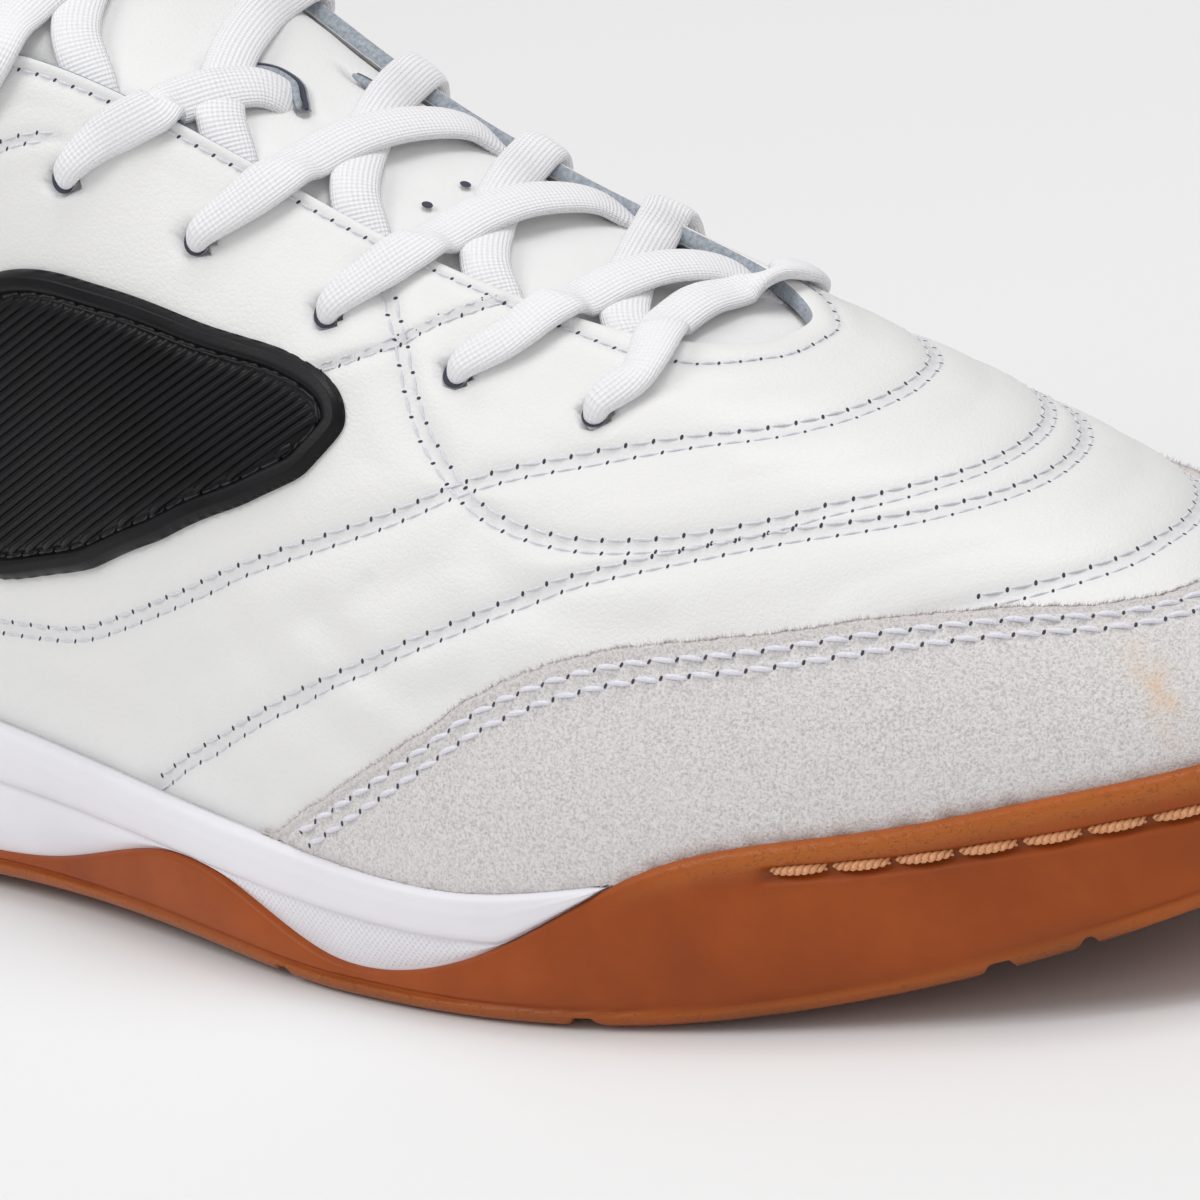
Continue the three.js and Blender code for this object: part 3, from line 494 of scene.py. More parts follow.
def off_upper(u, v, distance):
    """The upper's surface moved out along its normal."""
    u, v, distance = np.broadcast_arrays(
        np.asarray(u, float), np.asarray(v, float), np.asarray(distance, float)
    )
    return upper_point(u, v) + upper_normal(u, v) * distance[..., None]


def share_below_edge(u, distance):
    """The share of the way up at a distance below the edge."""
    u, distance = np.broadcast_arrays(np.asarray(u, float), np.asarray(distance, float))
    edge = upper_point(u, 1.0)
    low = np.zeros_like(u)
    high = np.ones_like(u)
    for _ in range(24):
        middle = (low + high) / 2
        far = np.linalg.norm(upper_point(u, middle) - edge, axis=-1) > distance
        low = np.where(far, middle, low)
        high = np.where(far, high, middle)
    return high


def station_where(value, wanted, low, high):
    """The outer station where a value that grows towards the toe reaches the one asked for."""
    for _ in range(30):
        middle = (low + high) / 2
        if float(value(middle)) < wanted:
            low = middle
        else:
            high = middle
    return low


# Meshes, lines and noise


def mesh_piece(name, points, faces, node, materials, face_materials=None):
    """A piece from points in millimetres, riding on the shoe's one body."""
    mesh = bpy.data.meshes.new(name)
    mesh.from_pydata((np.asarray(points, float).reshape(-1, 3) * MM).tolist(), [], faces)
    for material in materials:
        mesh.materials.append(material)
    if face_materials is not None:
        mesh.polygons.foreach_set("material_index", np.asarray(face_materials, dtype=np.int32))
    mesh.polygons.foreach_set("use_smooth", np.full(len(mesh.polygons), True))
    mesh.update()
    piece = bpy.data.objects.new(name, mesh)
    bpy.context.scene.collection.objects.link(piece)
    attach(piece, "root")
    if node:
        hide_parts(node)
    return piece


def paint(piece, name, values):
    """Keeps one number a point for the piece's material."""
    layer = piece.data.attributes.new(name, "FLOAT", "POINT")
    layer.data.foreach_set("value", np.asarray(values, dtype=np.float32).ravel())


def grid_faces(rows, columns, wrap=False, start=0, flip=False):
    """Quads of a grid of points in rows, and round again to the first column where it wraps."""
    r, c = np.meshgrid(np.arange(rows - 1), np.arange(columns if wrap else columns - 1), indexing="ij")
    d = (c + 1) % columns
    quads = [r * columns + c, r * columns + d, (r + 1) * columns + d, (r + 1) * columns + c]
    if flip:
        quads = quads[::-1]
    return (np.stack(quads, -1).reshape(-1, 4) + start).tolist()


class Surface:
    """The outside of a finished piece, to lay small things on it."""

    def __init__(self, points, faces):
        self.tree = BVHTree.FromPolygons(np.asarray(points, float).tolist(), faces)

    def lay(self, points):
        places, normals = [], []
        for point in points:
            place, normal, _, _ = self.tree.find_nearest(Vector(point))
            places.append(place)
            normals.append(normal)
        return np.array(places), np.array(normals)


def points_of(name):
    """A finished piece's points in millimetres."""
    vertices = bpy.data.objects[name].data.vertices
    points = np.empty(len(vertices) * 3)
    vertices.foreach_get("co", points)
    return points.reshape(-1, 3) / MM


def surface_of(name):
    faces = [list(polygon.vertices) for polygon in bpy.data.objects[name].data.polygons]
    return Surface(points_of(name), faces)


class Joined:
    """Many small shapes gathered into one mesh."""

    def __init__(self):
        self.points, self.faces, self.count = [], [], 0

    def add(self, points, faces):
        self.faces += [[i + self.count for i in f] for f in faces]
        self.points.append(points)
        self.count += len(points)

    def piece(self, name, slot, material, node=None):
        return mesh_piece(name, np.concatenate(self.points), self.faces, node, (material,))


def even_stations(count, first=0.0, last=STATIONS):
    """Stations spaced evenly along the outline."""
    dense = np.linspace(first, last, 4000)
    run = run_along(np.stack([side_x(dense), side_y(dense)], -1))
    return np.interp(np.linspace(0, run[-1], count + 1), run, dense)[: count + (last < STATIONS)]


def distance_to(points, line, limit):
    """Distance from each point to a dense line of points, exact only within the limit."""
    flat = points.reshape(-1, 3)
    result = np.full(len(flat), limit)
    low = line.min(0) - limit
    high = line.max(0) + limit
    near = np.nonzero(((flat > low) & (flat < high)).all(1))[0]
    for part in np.array_split(near, max(1, len(near) // 2000)):
        gap = np.linalg.norm(flat[part][:, None] - line[None], axis=-1).min(1)
        result[part] = np.minimum(gap, limit)
    return result.reshape(points.shape[:-1])


def dense_line(points, step=0.5):
    """A line's points at an even step along it."""
    points = np.asarray(points, float)
    run = run_along(points)
    return read_line(points, run, np.linspace(0, run[-1], max(2, int(run[-1] / step) + 1)))


def smooth_curve(pairs, count):
    """A smooth curve through station and share pairs."""
    p = np.asarray(pairs, float)
    p = np.vstack([2 * p[0] - p[1], p, 2 * p[-1] - p[-2]])
    spans = len(p) - 3
    t = np.linspace(0, spans - 1e-9, count)
    i = t.astype(int)
    f = (t - i)[:, None]
    return between(p[i], p[i + 1], p[i + 2], p[i + 3], f)


def mirrored(pairs):
    """The same line on the inner side."""
    return [(STATIONS - u, v) for u, v in pairs]


def across_toe(pairs):
    """A line that runs on over the toe to the inner side."""
    return list(pairs) + mirrored(pairs[::-1])[1:]


def soft_noise(points, scale, seed):
    """Smooth value noise of about -1 to 1, from sums of sines with fixed directions."""
    rng = np.random.default_rng(seed)
    total = np.zeros(points.shape[:-1])
    for _ in range(7):
        direction = rng.normal(size=3)
        direction /= np.linalg.norm(direction)
        phase = rng.uniform(0, 2 * math.pi)
        total += np.sin(points @ direction * (2 * math.pi / scale) * rng.uniform(0.7, 1.5) + phase)
    return total / 3.5


# Camera


def place_camera():
    azimuth, elevation, roll = (
        math.radians(k) for k in (CAMERA_AZIMUTH, CAMERA_ELEVATION, CAMERA_ROLL)
    )
    back = Vector(
        (
            math.sin(azimuth) * math.cos(elevation),
            -math.cos(azimuth) * math.cos(elevation),
            math.sin(elevation),
        )
    )
    right = Vector((math.cos(azimuth), math.sin(azimuth), 0))
    up = back.cross(right)
    turned_right = right * math.cos(roll) - up * math.sin(roll)
    turned_up = right * math.sin(roll) + up * math.cos(roll)
    data = bpy.data.cameras.new("camera")
    data.sensor_width = SENSOR
    data.lens = CAMERA_PIXELS / FRAME_PIXELS * SENSOR
    data.shift_x = -CAMERA_OFFSET[0] / FRAME_PIXELS
    data.shift_y = -CAMERA_OFFSET[1] / FRAME_PIXELS
    data.clip_start = 0.05
    data.clip_end = 30
    camera = bpy.data.objects.new("camera", data)
    place = (Vector(CAMERA_TARGET) + back * CAMERA_DISTANCE) * MM
    camera.matrix_world = Matrix.Translation(place) @ Matrix(
        (turned_right, turned_up, back)
    ).transposed().to_4x4()
    bpy.context.scene.collection.objects.link(camera)
    bpy.context.scene.camera = camera


place_camera()


# Materials. Lengths in them are in metres, because they read the shoe's own coordinates.


class Nodes:
    """A material's node tree, with short calls for the nodes used here."""

    def __init__(self, name):
        self.material = bpy.data.materials.new(name)
        self.material.use_nodes = True
        self.tree = self.material.node_tree
        self.shader = self.tree.nodes["Principled BSDF"]
        self.place = self.new("ShaderNodeTexCoord").outputs["Object"]

    def new(self, kind, **settings):
        node = self.tree.nodes.new(kind)
        for key, value in settings.items():
            setattr(node, key, value)
        return node

    def put(self, socket, value):
        if isinstance(value, bpy.types.NodeSocket):
            self.tree.links.new(value, socket)
        else:
            socket.default_value = value

    def number(self, name):
        return self.new("ShaderNodeAttribute", attribute_name=name).outputs["Fac"]

    def math(self, operation, a, b=0.0):
        node = self.new("ShaderNodeMath", operation=operation)
        self.put(node.inputs[0], a)
        self.put(node.inputs[1], b)
        return node.outputs[0]

    def times(self, a, b):
        return self.math("MULTIPLY", a, b)

    def wave(self, value, length):
        """A sine wave over a number kept with the piece."""
        return self.math("SINE", self.times(value, 2 * math.pi / length))

    def scaled(self, scale, stretch=(1.0, 1.0, 1.0)):
        node = self.new("ShaderNodeMapping")
        self.put(node.inputs["Vector"], self.place)
        node.inputs["Scale"].default_value = [scale * k for k in stretch]
        return node.outputs["Vector"]

    def noise(self, size, detail=3.0, rough=0.55, stretch=(1.0, 1.0, 1.0)):
        """Noise with features of about the given size in metres."""
        node = self.new("ShaderNodeTexNoise")
        self.put(node.inputs["Vector"], self.scaled(1 / size, stretch))
        node.inputs["Scale"].default_value = 1.0
        node.inputs["Detail"].default_value = detail
        node.inputs["Roughness"].default_value = rough
        return node.outputs["Fac"]

    def cells(self, size, feature, randomness=1.0):
        node = self.new("ShaderNodeTexVoronoi", feature=feature)
        self.put(node.inputs["Vector"], self.scaled(1 / size))
        node.inputs["Scale"].default_value = 1.0
        node.inputs["Randomness"].default_value = randomness
        return node.outputs["Distance"]

    def ramp(self, value, stops):
        node = self.new("ShaderNodeValToRGB")
        elements = node.color_ramp.elements
        while len(elements) < len(stops):
            elements.new(0.5)
        for element, (position, colour) in zip(elements, stops):
            element.position = position
            element.color = (*colour, 1.0)
        self.put(node.inputs["Fac"], value)
        return node.outputs["Color"]

    def range(self, value, low, high, to_low=0.0, to_high=1.0):
        node = self.new("ShaderNodeMapRange")
        self.put(node.inputs["Value"], value)
        for key, number in zip(("From Min", "From Max", "To Min", "To Max"), (low, high, to_low, to_high)):
            node.inputs[key].default_value = number
        return node.outputs["Result"]

    def mix(self, factor, a, b):
        node = self.new("ShaderNodeMix", data_type="RGBA")
        self.put(node.inputs[0], factor)
        for socket, value in ((node.inputs[6], a), (node.inputs[7], b)):
            self.put(socket, (*value, 1.0) if isinstance(value, tuple) else value)
        return node.outputs[2]

    def bump(self, height, distance, strength=1.0, before=None):
        node = self.new("ShaderNodeBump")
        node.inputs["Distance"].default_value = distance
        node.inputs["Strength"].default_value = strength
        self.put(node.inputs["Height"], height)
        if before is not None:
            self.put(node.inputs["Normal"], before)
        return node.outputs["Normal"]

    def finish(self, colour, roughness, normal=None, **fixed):
        self.put(self.shader.inputs["Base Color"], (*colour, 1.0) if isinstance(colour, tuple) else colour)
        self.put(self.shader.inputs["Roughness"], roughness)
        if normal is not None:
            self.put(self.shader.inputs["Normal"], normal)
        for key, value in fixed.items():
            self.shader.inputs[key.replace("_", " ")].default_value = value
        return self.material


def leather_material(name, colour, grey):
    """Smooth full-grain leather: a fine net of grain, faint clouding, and painted shade in the sewn
    troughs and round the eyelets.
    """
    n = Nodes(name)
    grain = n.cells(0.00075, "DISTANCE_TO_EDGE")
    grain = n.range(grain, 0.0, 0.22)
    fine = n.noise(0.0004, 2.0)
    clouds = n.noise(0.03, 3.0)
    base = n.mix(n.range(clouds, 0.35, 0.7, 0.0, 0.5), colour, grey)
    # painted shade: darker blue grey in the sewn troughs, round the eyelets and in the tongue's slits
    trough_shade = n.number("trough_shade")
    base = n.mix(n.range(trough_shade, 0.0, 1.0, 0.0, 0.35), base, (0.55, 0.55, 0.6))
    normal = n.bump(grain, 0.00004, 0.5)
    normal = n.bump(fine, 0.00003, 0.5, normal)
    normal = n.bump(n.noise(0.004, 3.0), 0.0002, 0.45, normal)
    rough = n.range(clouds, 0.3, 0.7, 0.42, 0.52)
    return n.finish(base, rough, normal, Specular_IOR_Level=0.42, Coat_Weight=0.08, Coat_Roughness=0.3)


def suede_material():
    """Napped suede: pale grey, with short fibres that catch the light unevenly."""
    n = Nodes("suede")
    nap = n.noise(0.0004, 2.0, 0.65)
    speckle = n.noise(0.00028, 1.0, 0.5)
    brushed = n.noise(0.012, 3.0, 0.6, (1.0, 1.0, 2.0))
    base = n.ramp(nap, SUEDE_COLOURS)
    base = n.mix(n.range(brushed, 0.35, 0.7, 0.0, 0.35), base, (0.77, 0.75, 0.75))
    base = n.mix(n.range(speckle, 0.34, 0.42, 0.4, 0.0), base, (0.4, 0.37, 0.36))
    base = n.mix(n.number("stain"), base, (0.80, 0.56, 0.36))
    # painted contact shadow where the suede meets the rubber, and darkening along the cut edge
    base = n.mix(n.number("soil_and_shade"), base, (0.33, 0.22, 0.19))
    normal = n.bump(nap, 0.00026, 0.8)
    normal = n.bump(speckle, 0.0001, 0.8, normal)
    return n.finish(base, 0.95, normal, Specular_IOR_Level=0.15, Sheen_Weight=0.35, Sheen_Roughness=0.5)


def rubber_material():
    """Gum rubber: amber brown, slightly clouded, with a soft moulded gloss, a painted highlight on the toe
    wrap's lip, a lighter band along the bottom, darkening near the floor and painted shade in the stitched
    groove.
    """
    n = Nodes("gum_rubber")
    clouds = n.noise(0.02, 4.0, 0.6)
    fine = n.noise(0.0009, 3.0, 0.7)
    base = n.ramp(clouds, RUBBER_COLOURS)
    # painted highlight on the toe wrap's lip, and a lighter band along the bottom
    base = n.mix(n.number("lip_highlight_and_low_band"), base, (0.48, 0.135, 0.022))
    # darker near the floor and underneath, and painted shade in the stitched groove
    base = n.mix(n.number("soil_and_shade"), base, (0.16, 0.055, 0.02))
    normal = n.bump(fine, 0.00006, 0.6)
    normal = n.bump(n.noise(0.005, 2.0), 0.00025, 0.3, normal)
    streaks = n.noise(0.0022, 4.0, 0.65, (1.0, 1.0, 2.6))
    normal = n.bump(n.times(streaks, n.number("lip_highlight_and_low_band")), 0.0006, 0.7, normal)
    specks = n.range(n.noise(0.0007, 2.0, 0.7), 0.58, 0.68)
    normal = n.bump(n.times(specks, n.number("lip_highlight_and_low_band")), 0.00025, 0.7, normal)
    rough = n.range(n.number("lip_highlight_and_low_band"), 0.0, 0.8, 0.48, 0.24)
    return n.finish(base, rough, normal, Specular_IOR_Level=0.3)


def foam_material():
    """Moulded white foam with a lilac tint, and a net of fine dots on its lower band."""
    n = Nodes("foam")
    net = n.times(n.wave(n.number("along"), DOT_PITCH), n.wave(n.number("height"), DOT_PITCH))
    dots = n.times(n.range(net, 0.1, 0.6), n.number("dot_band"))
    fine = n.noise(0.0006, 3.0)
    base = n.mix(n.range(n.noise(0.02), 0.3, 0.7, 0.0, 1.0), (0.86, 0.845, 0.90), (0.91, 0.90, 0.94))
    base = n.mix(n.times(dots, 0.3), base, (0.6, 0.58, 0.68))
    # darker towards the floor, in patches
    base = n.mix(n.number("soil_and_shade"), base, (0.46, 0.40, 0.40))
    normal = n.bump(fine, 0.00003, 0.5)
    normal = n.bump(n.times(dots, -1.0), 0.00013, 0.8, normal)
    return n.finish(base, 0.5, normal, Specular_IOR_Level=0.4)


def lace_material():
    """Flat braid: slanted picks in two directions, from the numbers kept along and across it."""
    n = Nodes("lace")
    along = n.number("along")
    across = n.number("across")
    left = n.wave(n.math("ADD", along, across), BRAID_PITCH)
    right = n.wave(n.math("SUBTRACT", along, across), BRAID_PITCH)
    braid = n.times(left, right)
    fibre = n.noise(0.00018, 3.0, 0.7)
    base = n.mix(n.range(braid, -0.8, 0.8), (0.93, 0.925, 0.95), (0.98, 0.975, 0.99))
    base = n.mix(n.range(fibre, 0.3, 0.7, 0.12, 0.0), base, (0.84, 0.83, 0.88))
    # painted shade where each strand comes out of its eyelet
    base = n.mix(n.number("soil_and_shade"), base, (0.45, 0.44, 0.5))
    normal = n.bump(braid, 0.0001, 0.8)
    normal = n.bump(fibre, 0.00008, 0.6, normal)
    return n.finish(base, 0.85, normal, Specular_IOR_Level=0.2, Sheen_Weight=0.2)


def panel_material():
    """Black coated leather of the side panels."""
    n = Nodes("black_panel")
    fine = n.noise(0.0005, 3.0, 0.6)
    wide = n.noise(0.008, 3.0)
    base = n.mix(n.range(wide, 0.3, 0.7), (0.0018, 0.0016, 0.0026), (0.0045, 0.004, 0.0062))
    normal = n.bump(fine, 0.00005, 0.6)
    return n.finish(base, n.range(wide, 0.3, 0.7, 0.34, 0.48), normal, Specular_IOR_Level=0.24)


def lining_material(name, colour):
    """Fine knitted lining."""
    n = Nodes(name)
    knit = n.cells(0.0009, "F1", 0.35)
    fibre = n.noise(0.0003, 3.0, 0.7)
    base = n.mix(n.range(knit, 0.0, 0.7), colour, tuple(0.72 * k for k in colour))
    normal = n.bump(knit, 0.00025, 0.7)
    normal = n.bump(fibre, 0.0001, 0.5, normal)
    return n.finish(base, 0.95, normal, Specular_IOR_Level=0.1, Sheen_Weight=0.25)


def cut_edge_material():
    """The raw edge of the leather round the throat: grey blue and fibrous."""
    n = Nodes("cut_edge")
    fibre = n.noise(0.0005, 4.0, 0.75)
    base = n.ramp(fibre, CUT_EDGE_COLOURS)
    return n.finish(base, 0.9, n.bump(fibre, 0.0002, 0.8))


def thread_material(name, colour, shade, roughness=0.65):
    n = Nodes(name)
    fibre = n.noise(0.0003, 3.0, 0.7)
    base = n.mix(n.range(fibre, 0.3, 0.7), colour, shade)
    return n.finish(base, roughness, n.bump(fibre, 0.00008, 0.7), Sheen_Weight=0.15)


LEATHER = leather_material("leather", (0.855, 0.85, 0.84), (0.825, 0.823, 0.825))
TONGUE_LEATHER = leather_material("tongue_leather", (0.87, 0.865, 0.86), (0.84, 0.84, 0.84))
SUEDE = suede_material()
RUBBER = rubber_material()
FOAM = foam_material()
LACE = lace_material()
PANEL_BLACK = panel_material()
LINING = lining_material("lining", (0.62, 0.61, 0.62))
INSOLE = lining_material("insole", (0.55, 0.54, 0.56))
CUT_EDGE = cut_edge_material()
THREAD = thread_material("seam_thread", (0.84, 0.83, 0.88), (0.66, 0.65, 0.72))
GUARD_THREAD = thread_material("guard_thread", (0.90, 0.89, 0.95), (0.72, 0.71, 0.80))
GUM_THREAD = thread_material("gum_thread", (0.88, 0.46, 0.24), (0.66, 0.29, 0.12))
BLACK_THREAD = thread_material("black_thread", (0.012, 0.012, 0.015), (0.004, 0.004, 0.005), 0.5)
FUZZ = thread_material("suede_fuzz", (0.86, 0.84, 0.835), (0.62, 0.58, 0.57), 0.95)
# dark navy painted shade inside needle holes, eyelets, tongue holes and slit openings
HOLE_SHADE = thread_material("hole_shade", (0.055, 0.06, 0.09), (0.035, 0.037, 0.06), 0.9)


# Floor and light


def stage_and_light():
    bpy.ops.mesh.primitive_plane_add(size=6, location=(0, 0, 0))
    floor = bpy.context.object
    floor.name = "floor"
    n = Nodes("floor")
    floor.data.materials.append(n.finish(FLOOR_COLOUR, 0.9, Specular_IOR_Level=0.1))
    floor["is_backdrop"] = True
    world = bpy.data.worlds.new("world")
    bpy.context.scene.world = world
    world.use_nodes = True
    sky = world.node_tree.nodes["Background"]
    sky.inputs["Color"].default_value = (1.0, 1.0, 1.0, 1.0)
    sky.inputs["Strength"].default_value = WORLD_STRENGTH
    bpy.context.scene.view_settings.view_transform = "Standard"
    for name, place, size, power in LIGHTS:
        data = bpy.data.lights.new(name, "AREA")
        data.shape = "SQUARE"
        data.size = size
        data.energy = power
        light = bpy.data.objects.new(name, data)
        light.location = place
        aim = Vector(LIGHT_AIM) - Vector(place)
        light.rotation_euler = aim.to_track_quat("-Z", "Y").to_euler()
        bpy.context.scene.collection.objects.link(light)


stage_and_light()


# The upper's leather, with its sewn troughs, lining and rims


def on_upper(pairs):
    return upper_point(pairs[:, 0], pairs[:, 1])


def throat_line(count=260):
    u = np.linspace(THROAT_ROW[0][0], STATIONS - THROAT_ROW[0][0], count)
    side = side_of(u)
    distance = np.interp(side, *zip(*THROAT_ROW))
    return np.stack([u, share_below_edge(u, distance)], -1)


def collar_line(count=200):
    u = np.linspace(-THROAT_START - 0.1, THROAT_START + 0.1, count)
    return np.stack([u, share_below_edge(u, COLLAR_STITCH)], -1)


def row_curves():
    """Every double row as dense station and share pairs, on both sides."""
    curves = [smooth_curve(across_toe(r), 700) for r in (VAMP_ROW, LOW_ROW, SADDLE_ROW)]
    curves.append(smooth_curve(across_toe(TOE_ROW), 300))
    heel = [(-u, v) for u, v in HEEL_ROW[:0:-1]] + list(HEEL_ROW)
    curves.append(smooth_curve(heel, 300))
    return curves


ROW_CURVES = row_curves()
SINGLE_CURVES = [smooth_curve(EYESTAY_SEAM, 80), smooth_curve(QUARTER_SEAM, 80)]
SINGLE_CURVES += [np.stack([STATIONS - c[:, 0], c[:, 1]], -1) for c in SINGLE_CURVES]
THROAT_CURVE = throat_line()
COLLAR_CURVE = collar_line()


def guard_top(u):
    line = smooth_curve(across_toe(GUARD_EDGE), 400)
    u = np.mod(u, STATIONS)
    edge = np.interp(u, line[:, 0], line[:, 1], left=-1.0, right=-1.0)
    station, width, lower = INNER_GUARD_DIP
    return edge - lower * bell(u - station, width)


def distance_to_rows(points, curves, step, limit):
    """Distance from each point to the nearest of several rows of stitches."""
    lines = [dense_line(on_upper(curve), step) for curve in curves]
    return np.min([distance_to(points, line, limit) for line in lines], axis=0)


def relief(u, v, points):
    """How far the leather stands out, in millimetres, and how much painted shade falls in its sewn troughs
    (0 to 1).
    """
    rows = distance_to_rows(points, ROW_CURVES, 0.6, 12.0)
    singles = distance_to_rows(points, SINGLE_CURVES + [THROAT_CURVE, COLLAR_CURVE], 0.5, 8.0)
    height = bumps(rows, ROW_RELIEF) + bumps(singles, SINGLE_RELIEF)
    for pairs, depth, width in CREASES:
        line = dense_line(on_upper(smooth_curve(pairs, 40)), 0.8)
        gap = distance_to(points, line, 4 * width)
        height += depth * (0.45 * bell(gap - 1.7 * width, width) - bell(gap, width))
    for curve, sign in ((SINGLE_CURVES[0], 1), (SINGLE_CURVES[2], -1)):
        gap = distance_to(points, dense_line(on_upper(curve), 0.5), 10.0)
        behind = v > np.interp(sign * u, sign * curve[:, 0], curve[:, 1])
        height += np.where(behind, EYESTAY_STEP, 0.0) * np.exp(-gap / 4.0)
    height += 0.22 * soft_noise(points, 46.0, 3) + 0.07 * soft_noise(points, 15.0, 4)
    fade = ramp_up(v, 0.06) * ramp_up(1 - v, 0.02)
    under_guard = ramp_up(guard_top(u) - v, 0.03)
    # painted shade in the troughs along the double rows and single seams, none under the guard
    trough_shade = np.maximum(bell(rows, 1.1) * 0.6, bell(singles, 0.5))
    return height * fade * (1 - under_guard), trough_shade * (1 - under_guard)


def rim_thickness(u):
    open_part = ramp_up(side_of(np.mod(u, STATIONS)) - THROAT_START + 1.2, 1.4)
    return COLLAR_PAD + (UPPER_WALL - COLLAR_PAD) * soften(open_part)


def rim_point(u, turn):
    """A point on the rounded rim, from the outside (0) over the top to the inside (1)."""
    thick = rim_thickness(u)
    normal = upper_normal(u, np.ones_like(u))
    up = unit(upper_point(u, 1.0) - upper_point(u, 0.985))
    crown = np.where(thick > 3, thick * 0.32, 0.35)
    angle = math.pi * turn
    inward = thick / 2 * (1 - math.cos(angle))
    return upper_point(u, 1.0) - normal * inward[..., None] + up * (crown * math.sin(angle))[..., None]


def share_at(u, distance):
    return float(share_below_edge(u, distance))


def eyelet_x(u):
    """Place along the shoe of an eyelet at a station."""
    return upper_point(u, share_at(u, EYELET_EDGE))[0]


def eyelet_stations():
    places = [FIRST_EYELET * LENGTH - number * EYELET_PITCH for number in range(EYELETS)]
    return [station_where(eyelet_x, x, THROAT_SEARCH, TOE - 1) for x in places]


EYELET_STATIONS = eyelet_stations()


def eyelet_places():
    """Station and share of every eyelet, outer side first."""
    both = EYELET_STATIONS + [STATIONS - u for u in EYELET_STATIONS]
    return [(u, share_at(u, EYELET_EDGE)) for u in both]


EYELET_PLACES = eyelet_places()


def sink_eyelets(points, trough_shade):
    """Sinks the leather round each punched eyelet, draws its points there into the hole, and adds painted
    shade round the hole.
    """
    for place in EYELET_PLACES:
        gap = np.linalg.norm(points - upper_point(*place), axis=-1)
        sunk = 0.35 * bell(gap, EYELET_RADIUS + 0.7, 4) + 1.5 * (gap < EYELET_RADIUS)
        points = points - upper_normal(*place) * sunk[..., None]
        # painted shade in the dip round the hole
        trough_shade = np.maximum(trough_shade, 0.7 * bell(gap - EYELET_RADIUS, 0.8))
    return points, trough_shade


def make_upper():
    columns, rows = UPPER_GRID
    u = even_stations(columns)
    grid_u, grid_v = np.meshgrid(u, np.linspace(0.0, 1.0, rows))
    base = upper_point(grid_u, grid_v)
    height, trough_shade = relief(grid_u, grid_v, base)
    outside, trough_shade = sink_eyelets(base + upper_normal(grid_u, grid_v) * height[..., None], trough_shade)
    foot = sole_point(u, FLANGE, footbed(u) + 0.3)
    rims = np.stack([rim_point(u, turn) for turn in np.linspace(0, 1, 9)[1:]])
    points = np.concatenate([foot[None], outside, rims])
    count = len(points)
    kinds = np.zeros((count - 1, columns), int)
    kinds[rows + 1 : -1] = side_of(u) > THROAT_START - 0.2
    materials = (LEATHER, CUT_EDGE)
    faces = grid_faces(count, columns, wrap=True)
    piece = mesh_piece("upper_leather", points, faces, "upper", materials, kinds.ravel())
    full = np.zeros((count, columns))
    full[1 : rows + 1] = trough_shade
    # painted shade of the troughs and eyelets, none on the foot row and rim
    paint(piece, "trough_shade", full)


def make_lining():
    u = even_stations(LINING_COLUMNS)
    thick = rim_thickness(u)
    below = np.concatenate([np.linspace(0, 45, 34), np.linspace(48, 130, 27)[:-1]])
    dense = np.linspace(0, 1, 60)
    run = run_along(upper_point(u[None, :], dense[:, None]))
    points = []
    for distance in below:
        v = read_columns(np.maximum(run[-1] - distance, 0), run, dense)
        pad = 1 - soften(ramp_up(distance - COLLAR_PAD_DEPTH[0], COLLAR_PAD_DEPTH[1]))
        inset = UPPER_WALL + 0.05 + (thick - UPPER_WALL) * pad
        points.append(off_upper(u, v, -inset))
    points.append(sole_point(u, FLANGE + UPPER_WALL, footbed(u) + 0.4))
    points = np.stack(points)
    points[..., 2] = np.maximum(points[..., 2], footbed(u)[None] + 0.4)
    faces = grid_faces(*points.shape[:2], wrap=True)
    mesh_piece("upper_lining", points, faces, "upper", (LINING,))


# Sole


def lid(start, columns, up):
    """Flat faces that close a ring of points, across from the outer side to the inner."""
    faces = []
    for i in range(columns // 2):
        quad = [i, i + 1, (columns - i - 1) % columns, (columns - i) % columns]
        faces.append(list(dict.fromkeys(start + k for k in (quad if up else quad[::-1]))))
    return faces


def stack_piece(name, points, node, material):
    """A closed body from rows of points round the shoe, with flat lids below and above."""
    count, columns = points.shape[:2]
    faces = grid_faces(count, columns, wrap=True)
    faces += lid(0, columns, False) + lid((count - 1) * columns, columns, True)
    return mesh_piece(name, points, faces, node, (material,))


def symmetric_stations(count):
    """Stations round the sole in pairs, outer and inner, that share their place along the shoe."""
    half = even_stations(count // 2, first=0.0, last=float(TOE))
    side = np.append(half, float(TOE)) if half[-1] < TOE else half
    return np.concatenate([side, STATIONS - side[-2:0:-1]])


def darker_near_floor(points, reach, seed):
    """Faint patchy darkening towards the floor."""
    cloud = ramp_up(soft_noise(points, 17.0, seed) * 0.5 + 0.5)
    return ramp_up(1 - points[..., 2] / reach) ** 2 * cloud


def groove_height(u):
    """Height of the stitched groove, below the top of the toe wrap."""
    side = side_of(u)
    return rubber_top(u) - np.interp(side, *zip(*GROOVE_DROP))


def rubber_swell(u, share):
    """The rubber sidewall's gentle bulge."""
    tall = ramp_up(rubber_top(u) - side_floor(u), 12)
    return 0.75 * tall * np.sin(math.pi * ramp_up(share)) ** 0.8


def bar_grooves(x):
    """Depth of the grooves between the tread's bars, none of them under the arch."""
    away = np.abs(np.mod(x, TREAD_PITCH) - TREAD_PITCH / 2)
    across = ramp_up((TREAD_GROOVE / 2 - away) / 0.35 + 0.5)
    plain = (x > -0.14 * LENGTH) & (x < 0.02 * LENGTH)
    return np.where(plain, 0, across) * TREAD_DEPTH


